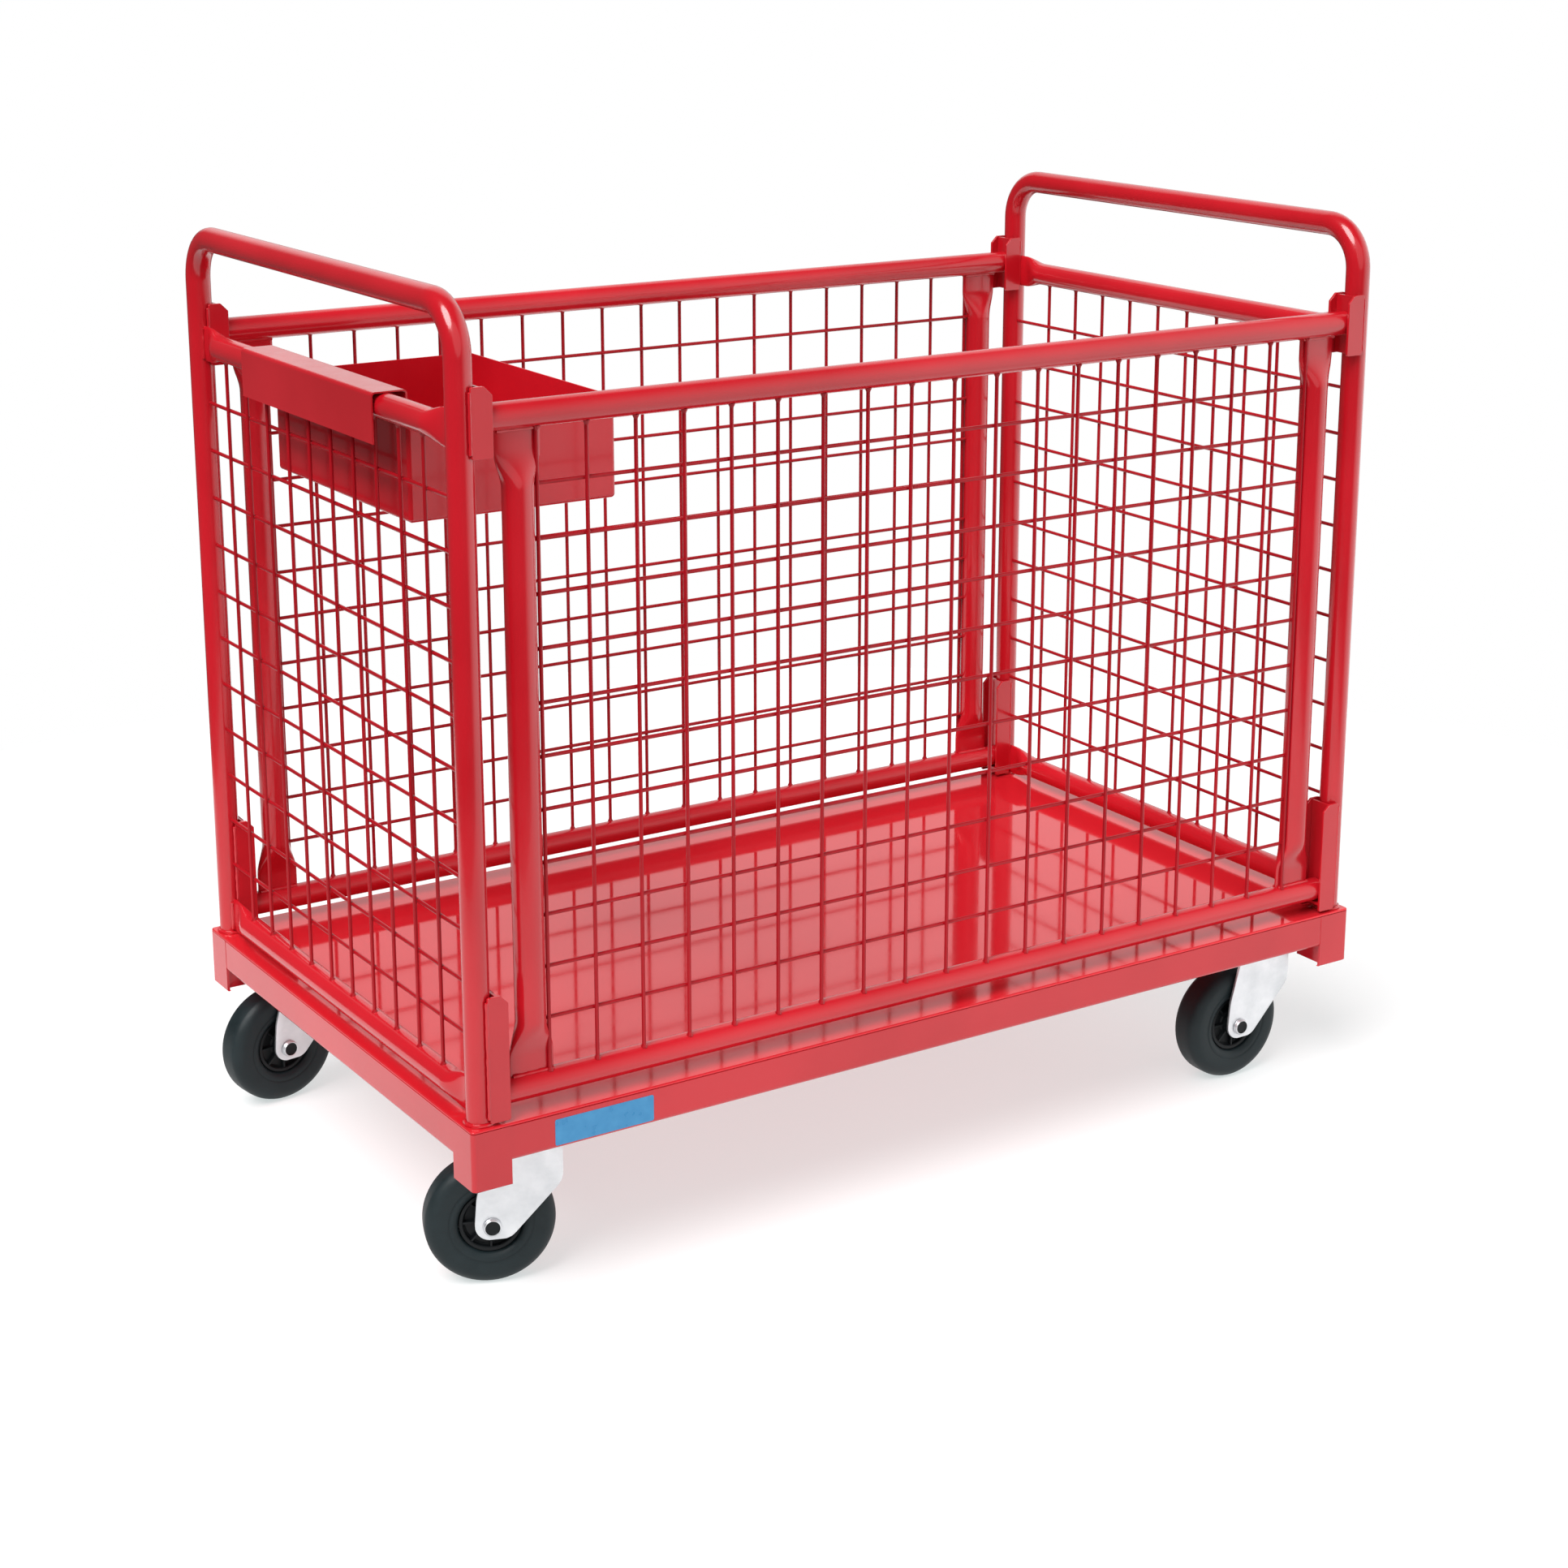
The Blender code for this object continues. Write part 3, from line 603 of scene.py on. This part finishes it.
def make_hoop(end):
    """One bent tube: two posts and the handle, with a weld round each foot."""
    node = "end_hoop_" + end
    low, high = box(node)
    x = (low.x + high.x) / 2
    handle_z = high.z - TUBE_RADIUS
    bend_z = handle_z - HANDLE_BEND
    half = [(POST_Y, low.z + (bend_z - low.z) * k / 8) for k in range(8)]
    half += arc((POST_Y - HANDLE_BEND, bend_z), HANDLE_BEND, 0, 90, 14)
    path = [(x, y, z) for y, z in half] + [(x, -y, z) for y, z in reversed(half)]
    shape = Shape()
    shape.sweep(path, circle(TUBE_RADIUS, 32))
    for y in (POST_Y, -POST_Y):
        foot = Vector((x, y, low.z + 0.0012))
        weld_bead(shape, ring_path(foot, TUBE_RADIUS + 0.0006), 0.0021, closed=True, seed=3)
    piece("hoop_tube_" + end, shape, "red_paint", "root", [node])


def make_end_rails(end):
    """Two tubes across an end, with pressed ends that are welded to the posts."""
    for level in ("bottom", "top"):
        node = "end_" + level + "_rail_" + end
        high = box(node)[1]
        centre = middle(node)
        reach = high.y + 0.004
        shape = Shape()
        pressed_tube(shape, (centre.x, -reach, centre.z), (centre.x, reach, centre.z), TUBE_RADIUS,
                     RAIL_END_HALF, 0.014, 0.034, Z)
        for y in (-high.y, high.y):
            for x in (centre.x - 0.003, centre.x + 0.003):
                path = line_path((x, y, centre.z - 0.015), (x, y, centre.z + 0.015))
                weld_bead(shape, path, 0.0018, seed=5)
        piece("end_rail_" + level + "_" + end, shape, "red_paint", "root", [node])


# ---- Welded wire

def wire(shape, start, end):
    shape.sweep([start, end], circle(WIRE_RADIUS, 10))


def wire_foot(shape, point, towards):
    """The small weld where a wire's end meets a tube."""
    shape.turn([(WIRE_RADIUS * 0.98, 0.0032), (0.0023, 0.0016), (0.0030, 0.0004),
                (0.0034, -0.0012), (0.0, -0.0016)], point, towards, 8)


def crossing(shape, point, out):
    """The squeezed metal between two wires that are welded where they cross."""
    shape.turn([(0.0, 0.0013), (0.0016, 0.0007), (0.0020, 0.0), (0.0016, -0.0007), (0.0, -0.0013)],
               point, out, 8)


def centred(count):
    return [(i - (count - 1) / 2) * PITCH for i in range(count)]


def welded_mesh(name, node, body, out, along, columns, plane, rail_low, rail_high, reach,
                first_row, feet_in):
    """Upright wires on the outside and level wires on the inside, welded at each crossing."""
    shape = Shape()
    outside, inside = plane + out * WIRE_LAYER, plane - out * WIRE_LAYER
    for u in columns:
        upright = outside + along * u
        wire(shape, upright + Z * (rail_low + feet_in), upright + Z * (rail_high - feet_in))
        wire_foot(shape, upright + Z * (rail_low + TUBE_RADIUS - 0.0004), Z)
        wire_foot(shape, upright + Z * (rail_high - TUBE_RADIUS + 0.0004), -Z)
    for row in range(MESH_ROWS):
        z = first_row + PITCH * row
        wire(shape, inside + along * -reach + Z * z, inside + along * reach + Z * z)
        for u in columns:
            crossing(shape, plane + along * u + Z * z, out)
    piece(name, shape, "red_wire_shaded", body, [node])


def make_end_mesh(end):
    """The fixed mesh between an end's two rails and two posts."""
    out = X * SIGN[end]
    plane = Vector((BASE_X + SIGN[end] * POST_X, 0, 0))
    rail_low, rail_high = (middle("end_" + level + "_rail_" + end).z for level in ("bottom", "top"))
    first = rail_low + TUBE_RADIUS - 0.005 + PITCH
    welded_mesh("end_mesh_wires_" + end, "end_mesh_" + end, "root", out, Y, centred(END_COLUMNS),
                plane, rail_low, rail_high, POST_Y - TUBE_RADIUS * 0.7, first,
                feet_in=TUBE_RADIUS * 0.8)


# ---- Long panels

def make_panel(face):
    """A lift-out side: two round rails, two stiles with pressed ends and a welded mesh."""
    body = "panel_" + face
    side = SIGN[face]
    rails = {level: middle(body + "_" + level + "_rail") for level in ("bottom", "top")}
    reach = box(body + "_top_rail")[1].x - BASE_X
    stations = [(-reach, TUBE_RADIUS - 0.0008), (-reach + 0.0008, TUBE_RADIUS)]
    stations += [(-x, r) for x, r in reversed(stations)]
    for level, centre in rails.items():
        shape = Shape()
        shape.skin([[Vector((BASE_X + x, centre.y + u, centre.z + v)) for u, v in circle(r, 32)]
                    for x, r in stations])
        name = body + "_" + level
        piece(name + "_tube", shape, "red_paint", body, [name + "_rail"])
    y = rails["top"].y
    low_z, high_z = rails["bottom"].z, rails["top"].z
    inset = TUBE_RADIUS - 0.0015
    for end in ("left", "right"):
        node = body + "_stile_" + end
        x = middle(node).x
        shape = Shape()
        pressed_tube(shape, (x, y, low_z + inset), (x, y, high_z - inset), STILE_RADIUS,
                     STILE_END_HALF, 0.018, 0.036, X)
        for z in (low_z + TUBE_RADIUS - 0.0002, high_z - TUBE_RADIUS + 0.0002):
            for bead_y in (y - 0.0032, y + 0.0032):
                weld_bead(shape, line_path((x - 0.021, bead_y, z), (x + 0.021, bead_y, z)), 0.0019)
        piece(node + "_tube", shape, "red_paint", body, [node])
    node = body + "_mesh"
    plane = Vector((BASE_X, middle(node).y - side * WIRE_LAYER, 0))
    welded_mesh(body + "_wires", node, body, Y * side, X, centred(PANEL_COLUMNS), plane, low_z,
                high_z, middle(body + "_stile_right").x - BASE_X - 0.012,
                low_z + TUBE_RADIUS + PITCH, feet_in=TUBE_RADIUS * 0.86)


# ---- Pockets

def make_pocket(level, face, end):
    """Two cheeks and a web round the end of a panel's rail, with a floor in the lower pockets."""
    node = "pocket_" + level + "_" + face + "_" + end
    low, high = box(node)
    centre_y = (low.y + high.y) / 2
    inner = (high.y - low.y) / 2 - SHEET
    out = SIGN[end]
    mouth, back = (low.x, high.x) if end == "right" else (high.x, low.x)
    web = mouth + out * POCKET_WEB
    cheek = [(mouth, low.z), (back, low.z), (back, high.z), (mouth + out * POCKET_CHAMFER, high.z),
             (mouth, high.z - POCKET_CHAMFER)]
    cheek = rounded(cheek, 0.002, 3)
    shape = Shape()
    for start in (centre_y + inner, centre_y - inner - SHEET):
        run_of(cheek, ALONG_Y, start, start + SHEET, shape)
    web_view = rectangle(web, centre_y - inner, web + out * SHEET, centre_y + inner)
    run_of(web_view, ALONG_Z, low.z + 0.001, high.z - 0.001, shape)
    if level == "bottom":
        floor_top = box("panel_" + face + "_bottom_rail")[0].z - POCKET_CLEARANCE
        floor_view = rectangle(mouth + out * 0.001, centre_y - inner, web, centre_y + inner)
        run_of(floor_view, ALONG_Z, floor_top - SHEET, floor_top, shape)
    for front in (-1, 1):
        x, y = back + out * 0.0006, centre_y + front * (inner + SHEET * 0.6)
        weld_bead(shape, line_path((x, y, low.z + 0.004), (x, y, high.z - 0.004)), 0.0017, seed=9)
    piece(node + "_bracket", shape, "red_paint", "root", [node], bevel=0.0005)


# ---- Tray

def make_tray():
    """Folded sheet: rounded bends, a rim with its top edge rounded and a hook over the end rail."""
    low, high = box("tray")
    back, top = BASE_X + TRAY_BACK, RIM_Z + TRAY_TOP
    inner_bend = TRAY_BEND - TRAY_SHEET
    turns = [math.pi / 2 * k / 5 for k in range(6)]
    levels = [(TRAY_BEND * (1 - math.sin(a)), low.z + TRAY_BEND * (1 - math.cos(a))) for a in turns]
    levels += [(0, top - TRAY_RIM_ROUND), (TRAY_RIM_ROUND, top)]
    levels += [(TRAY_SHEET - TRAY_RIM_ROUND, top), (TRAY_SHEET, top - TRAY_RIM_ROUND)]
    levels += [(TRAY_SHEET + inner_bend * (1 - math.sin(a)),
                low.z + TRAY_SHEET + inner_bend * (1 - math.cos(a))) for a in reversed(turns)]
    shape = Shape()
    shape.skin([level_ring((back, -high.y), high, inset, max(TRAY_CORNER - inset, 0.001), z)
                for inset, z in levels])

    def hook_line(depth, bend):
        """The hook's side view at a depth under its outer face."""
        near, far, ridge = back + TRAY_SHEET - depth, low.x + depth, high.z - depth
        points = [(near, top - 0.010), (near, ridge), (far, ridge), (far, RIM_Z + HOOK_TIP)]
        return rounded(points, [0, bend, bend, 0], 5)

    strip = hook_line(0, TRAY_BEND) + hook_line(TRAY_SHEET, inner_bend)[::-1]
    run_of(strip, ALONG_Y, low.y + 0.0003, high.y - 0.0003, shape)
    piece("tray_folded", shape, "red_paint", "tray", ["tray"], angle=30)


# ---- Casters
# Fork, axle and wheel are made straight, with the swivel axis at the origin, and then turned.

TRAIL = 0.040
CROWN_Z = 0.1435
CROWN_ROUND = 0.004         # the crown's front and rear corners
FORK_OUTER = 0.0240
FORK_LOW = 0.0490
FORK_TIP = 0.012            # the rounded lower end, where the rows stand closer
FORK_BEND = 0.007
BOLT_X, BOLT_Y = 0.038, 0.029
RIB_COUNT = 8
TYRE_SHOULDER = 0.0125
AXLE_POINT = Vector((-TRAIL, 0, WHEEL_RADIUS))
FORK_SIDE = rounded([(-0.0575, FORK_LOW), (-0.0230, FORK_LOW), (0.028, 0.1035), (0.028, CROWN_Z),
                     (-0.040, CROWN_Z), (-0.0540, 0.092)],
                    [0.015, 0.016, 0.020, CROWN_ROUND, CROWN_ROUND, 0.020], 12)


def set_down(shape, corner):
    """Turn a caster's shape about its swivel and stand it under its plate."""
    swivel = JOINTS["caster_swivel_" + corner]["pos_m"]
    across = JOINTS["wheel_spin_" + corner]["axis"]
    turn = Matrix.Rotation(math.atan2(-across[0], across[1]), 3, "Z")
    spot = Vector((swivel[0], swivel[1], 0))
    shape.points = [turn @ point + spot for point in shape.points]
    return shape


def fork_edges(z):
    """The fork's rear and front edge at a height, in the side view."""
    crossings = []
    for (x0, z0), (x1, z1) in zip(FORK_SIDE, FORK_SIDE[1:] + FORK_SIDE[:1]):
        if min(z0, z1) <= z <= max(z0, z1) and z0 != z1:
            crossings.append(x0 + (x1 - x0) * (z - z0) / (z1 - z0))
    return min(crossings), max(crossings)


def make_fork(corner):
    """A fork bent from sheet, with a rounded crown."""
    bottom, top, columns = FORK_LOW + 0.0001, CROWN_Z - FORK_BEND, 8
    straight = top - bottom - FORK_TIP
    levels = [bottom + FORK_TIP * (1 - math.cos(math.pi / 2 * k / 8)) for k in range(8)]
    levels += [bottom + FORK_TIP + straight * k / 16 for k in range(17)]
    half = [(-FORK_OUTER, z) for z in levels]
    half += [(-FORK_OUTER + FORK_BEND * (1 - math.cos(a)), top + FORK_BEND * math.sin(a))
             for a in (math.pi / 2 * k / 6 for k in range(1, 7))]
    rows = []
    for y, z in half + [(0.0, CROWN_Z)] + [(-y, z) for y, z in reversed(half)]:
        first, last = fork_edges(min(z, CROWN_Z - CROWN_ROUND))
        rows.append([Vector((first + (last - first) * k / columns, y, z))
                     for k in range(columns + 1)])
    shape = Shape()
    shape.skin(rows, closed_ring=False, caps=False)
    item = piece("fork_" + corner, set_down(shape, corner), "zinc_plating", "swivel_" + corner,
                 ["caster_fork_" + corner])
    thicken = item.modifiers.new("sheet", "SOLIDIFY")
    thicken.thickness = SHEET
    thicken.offset = -1
    round_edges(item, 0.0008, angle=50)


def make_race(corner):
    """The swivel's ball race under the plate, and the kingpin's head under the crown."""
    under = box("caster_plate_" + corner)[0].z
    origin = Vector((0, 0, 0))
    race = Shape()
    race.turn([(0.0, under - 0.0002), (0.020, under - 0.0002), (0.026, under - 0.0012),
               (0.0265, under - 0.0030), (0.0258, under - 0.0046), (0.0235, under - 0.0050),
               (0.0235, under - 0.0056), (0.0252, CROWN_Z + 0.0006), (0.0252, CROWN_Z - 0.001),
               (0.0, CROWN_Z - 0.001)], origin, Z, 40)
    race.turn([(0.0, CROWN_Z - 0.0085), (0.0040, CROWN_Z - 0.0085), (0.0048, CROWN_Z - 0.0075),
               (0.0048, CROWN_Z - 0.0062), (0.0095, CROWN_Z - 0.0058), (0.0098, CROWN_Z - 0.0030),
               (0.0098, CROWN_Z - 0.0015), (0.0, CROWN_Z - 0.0015)], origin, Z, 24)
    piece("race_" + corner, set_down(race, corner), "zinc_plating", "swivel_" + corner)


def make_plate(corner):
    """The top plate and its four bolts, which stay with the base."""
    node = "caster_plate_" + corner
    low, high = box(node)
    centre = (low + high) / 2
    outline = rounded(rectangle(low.x, low.y, high.x, high.y), 0.012, 6)
    shape = Shape()
    run_of(outline, ALONG_Z, low.z, high.z, shape)
    piece(node + "_pressed", shape, "zinc_plating", "root", [node], bevel=0.0006)
    bolts = Shape()
    for x in (centre.x - BOLT_X, centre.x + BOLT_X):
        for y in (centre.y - BOLT_Y, centre.y + BOLT_Y):
            hex_bolt(bolts, Vector((x, y, low.z)), -Z, 0.0065, 0.0055)
    piece("plate_bolts_" + corner, bolts, "zinc_plating", "root")


def hex_bolt(shape, seat, out, flat_radius, height):
    """A hexagon head on a washer, with its corners turned off."""
    washer = flat_radius * 1.45
    shape.turn([(0.0, 0.0), (washer, 0.0), (washer, 0.0010), (flat_radius * 1.38, 0.0014),
                (0.0, 0.0014)], seat, out, 24)
    side = out.cross(X).normalized()
    up = out.cross(side)
    corner_radius = flat_radius / math.cos(math.pi / 6)
    shape.skin([[seat + out * level + side * u + up * v
                 for u, v in circle(corner_radius * scale, 6)]
                for scale, level in ((1.0, 0.0012), (1.0, height * 0.85), (0.90, height),
                                     (0.5, height))])


def make_axle(corner):
    """A hollow axle rivet: a rolled rim round its bore on both sides, with a dark cup set in each
    end of the bore as painted shade.
    """
    reach = AXLE_LENGTH / 2
    seat = reach - 0.006
    rim = [(0.0, seat - 0.012), (0.0050, seat - 0.012), (0.0062, seat - 0.0004),
           (0.0066, reach - 0.0030), (0.0070, reach - 0.0021), (0.0077, reach - 0.0018),
           (0.0084, reach - 0.0026), (0.0089, reach - 0.0044), (0.0090, seat + 0.0003),
           (0.0063, seat + 0.0001)]
    shape = Shape()
    shape.turn(mirrored(rim), AXLE_POINT, Y, 32)
    piece("axle_" + corner, set_down(shape, corner), "zinc_plating", "swivel_" + corner,
          ["wheel_axle_" + corner])
    # Painted shade: a dark cup, in the hub's material, sits in each end of the plated bore where
    # the hollow falls in shade.
    shade_cup = [(0.0, reach - 0.0034), (0.0052, reach - 0.0033), (0.0062, reach - 0.0028),
           (0.0071, reach - 0.0020), (0.0060, reach - 0.0050), (0.0, reach - 0.0052)]
    bore_shade = Shape()
    bore_shade.turn(shade_cup, AXLE_POINT, Y, 32)
    bore_shade.turn([(r, -h) for r, h in reversed(shade_cup)], AXLE_POINT, Y, 32)
    piece("axle_bore_painted_shade_" + corner, set_down(bore_shade, corner), "dark_hub", "swivel_" + corner)


def make_tyre(corner):
    """A solid tyre with a groove in each side and a rounded shoulder."""
    half = WHEEL_WIDTH / 2
    profile = [(HUB_RADIUS + 0.0006, half - 0.0060), (HUB_RADIUS + 0.002, half - 0.0034),
               (HUB_RADIUS + 0.005, half - 0.0014), (0.0385, half - 0.0006),
               (0.0394, half - 0.0014), (0.0406, half - 0.0014), (0.0415, half - 0.0004),
               (0.0480, half)]
    profile += arc((WHEEL_RADIUS - TYRE_SHOULDER, half - TYRE_SHOULDER), TYRE_SHOULDER, 84, 14, 8)
    profile.append((WHEEL_RADIUS - 0.00012, 0.0045))
    shape = Shape()
    shape.turn(mirrored(profile), AXLE_POINT, Y, 80, closed=True)
    piece("tyre_" + corner, set_down(shape, corner), "black_tyre", "wheel_" + corner,
          ["wheel_tyre_" + corner], angle=60)


def make_hub(corner):
    """A moulded hub: a bearing boss and a rim, with ribs between them on both sides."""
    boss = HUB_WIDTH / 2
    profile = [(0.0056, boss), (0.0112, boss), (0.0120, boss - 0.0008), (0.0124, 0.0085),
               (0.0140, 0.0072), (0.0240, 0.0072), (0.0256, 0.0085), (0.0262, 0.0122),
               (0.0270, 0.0130), (0.0298, 0.0130), (HUB_RADIUS, 0.0124)]
    shape = Shape()
    shape.turn(mirrored(profile), AXLE_POINT, Y, 64, closed=True)
    for u, v in circle(1, RIB_COUNT):
        spoke = Vector((u, 0, v))
        across = Vector((-v, 0, u)) * 0.0013
        for side in (-1, 1):
            base, top = Y * 0.0060 * side, Y * 0.0118 * side
            shape.skin([[point - across + base, point + across + base,
                         point + across * 0.7 + top, point - across * 0.7 + top]
                        for point in (AXLE_POINT + spoke * 0.0115, AXLE_POINT + spoke * 0.0262)])
    piece("hub_" + corner, set_down(shape, corner), "dark_hub", "wheel_" + corner,
          ["wheel_hub_" + corner], angle=30)


# ---- Studio

ROOM_DIM = 0.10
ROOM_BRIGHT = 1.6
BACK_BRIGHT = 0.85
FLOOR_REACH = 1.7


def make_stage():
    """A round pale table that glows a little, as a lit studio table does."""
    mesh = bpy.data.meshes.new("floor")
    rim = [(BASE_X + u, v, 0) for u, v in circle(FLOOR_REACH, 96)]
    mesh.from_pydata(rim, [], [tuple(range(len(rim)))])
    floor = bpy.data.objects.new("floor", mesh)
    bpy.context.scene.collection.objects.link(floor)
    made = bpy.data.materials.new("pale_floor")
    made.use_nodes = True
    shader = made.node_tree.nodes["Principled BSDF"]
    shader.inputs["Base Color"].default_value = (0.41, 0.38, 0.38, 1)
    shader.inputs["Roughness"].default_value = 0.8
    shader.inputs["Specular IOR Level"].default_value = 0.1
    shader.inputs["Emission Color"].default_value = (0.92, 1, 1, 1)
    shader.inputs["Emission Strength"].default_value = 0.60
    mesh.materials.append(made)


def sun_light(name, towards, strength, spread_angle):
    light = bpy.data.lights.new(name, "SUN")
    light.energy = strength
    light.angle = math.radians(spread_angle)
    item = bpy.data.objects.new(name, light)
    item.rotation_euler = Vector(towards).to_track_quat("Z", "Y").to_euler()
    item.location = Vector(towards) * 3
    bpy.context.scene.collection.objects.link(item)


def glow_towards(tree, direction, towards, start, end, low, high):
    """A level that rises from low to high as a direction nears another."""
    nearness = tree.nodes.new("ShaderNodeVectorMath")
    nearness.operation = "DOT_PRODUCT"
    nearness.inputs[1].default_value = Vector(towards).normalized()
    tree.links.new(direction, nearness.inputs[0])
    level = tree.nodes.new("ShaderNodeMapRange")
    level.interpolation_type = "SMOOTHSTEP"
    level.inputs["From Min"].default_value = start
    level.inputs["From Max"].default_value = end
    level.inputs["To Min"].default_value = low
    level.inputs["To Max"].default_value = high
    tree.links.new(nearness.outputs["Value"], level.inputs["Value"])
    return level.outputs["Result"]


def make_world():
    """White to the camera; to the object a dim room, lit from its right and its upper back."""
    world = bpy.data.worlds.new("studio")
    bpy.context.scene.world = world
    world.use_nodes = True
    tree = world.node_tree
    direction = tree.nodes.new("ShaderNodeTexCoord").outputs["Generated"]
    right = glow_towards(tree, direction, (1.0, -0.30, -0.10), 0.35, 0.95, ROOM_DIM, ROOM_BRIGHT)
    back = glow_towards(tree, direction, (0.54, 0.84, 0.60), 0.78, 0.95, 0.0, BACK_BRIGHT)
    total = tree.nodes.new("ShaderNodeMath")
    total.operation = "ADD"
    tree.links.new(right, total.inputs[0])
    tree.links.new(back, total.inputs[1])
    room = tree.nodes["Background"]
    room.inputs["Color"].default_value = (1, 1, 1, 1)
    tree.links.new(total.outputs["Value"], room.inputs["Strength"])
    backdrop = tree.nodes.new("ShaderNodeBackground")
    backdrop.inputs["Color"].default_value = (1, 1, 1, 1)
    backdrop.inputs["Strength"].default_value = 1.0
    path = tree.nodes.new("ShaderNodeLightPath")
    mix = tree.nodes.new("ShaderNodeMixShader")
    tree.links.new(path.outputs["Is Camera Ray"], mix.inputs["Fac"])
    tree.links.new(room.outputs["Background"], mix.inputs[1])
    tree.links.new(backdrop.outputs["Background"], mix.inputs[2])
    tree.links.new(mix.outputs["Shader"], tree.nodes["World Output"].inputs["Surface"])


def make_camera():
    """A view from the left front, a little above the handles."""
    azimuth, elevation, distance = math.radians(32.86), math.radians(14.69), 3.0211
    target = Vector((BASE_X - 0.0013, 0, 0.5127))
    level = math.cos(elevation)
    back = Vector((-math.sin(azimuth) * level, -math.cos(azimuth) * level, math.sin(elevation)))
    data = bpy.data.cameras.new("camera")
    data.sensor_width = 36.0
    data.lens = 65.23
    data.shift_y = -0.10
    camera = bpy.data.objects.new("camera", data)
    camera.location = target + back * distance
    camera.rotation_euler = (-back).to_track_quat("-Z", "Y").to_euler()
    bpy.context.scene.collection.objects.link(camera)
    bpy.context.scene.camera = camera


make_camera()
make_stage()
make_world()
sun_light("key", (-0.55, -0.20, 0.80), 3.9, 40)
sun_light("fill", (-0.25, -0.85, 0.45), 0.6, 60)
bpy.context.scene.view_settings.view_transform = "Standard"

make_deck()
make_skirt()
for face_name, end_name in CORNERS:
    make_foot(face_name, end_name)
for end_name in ("left", "right"):
    make_beam(end_name)
make_label()
for end_name in ("left", "right"):
    make_hoop(end_name)
    make_end_rails(end_name)
    make_end_mesh(end_name)
for level_name in ("bottom", "top"):
    for face_name, end_name in CORNERS:
        make_pocket(level_name, face_name, end_name)
for face_name in ("front", "rear"):
    make_panel(face_name)
make_tray()
for face_name, end_name in CORNERS:
    corner_name = face_name + "_" + end_name
    make_plate(corner_name)
    make_fork(corner_name)
    make_race(corner_name)
    make_axle(corner_name)
    make_tyre(corner_name)
    make_hub(corner_name)
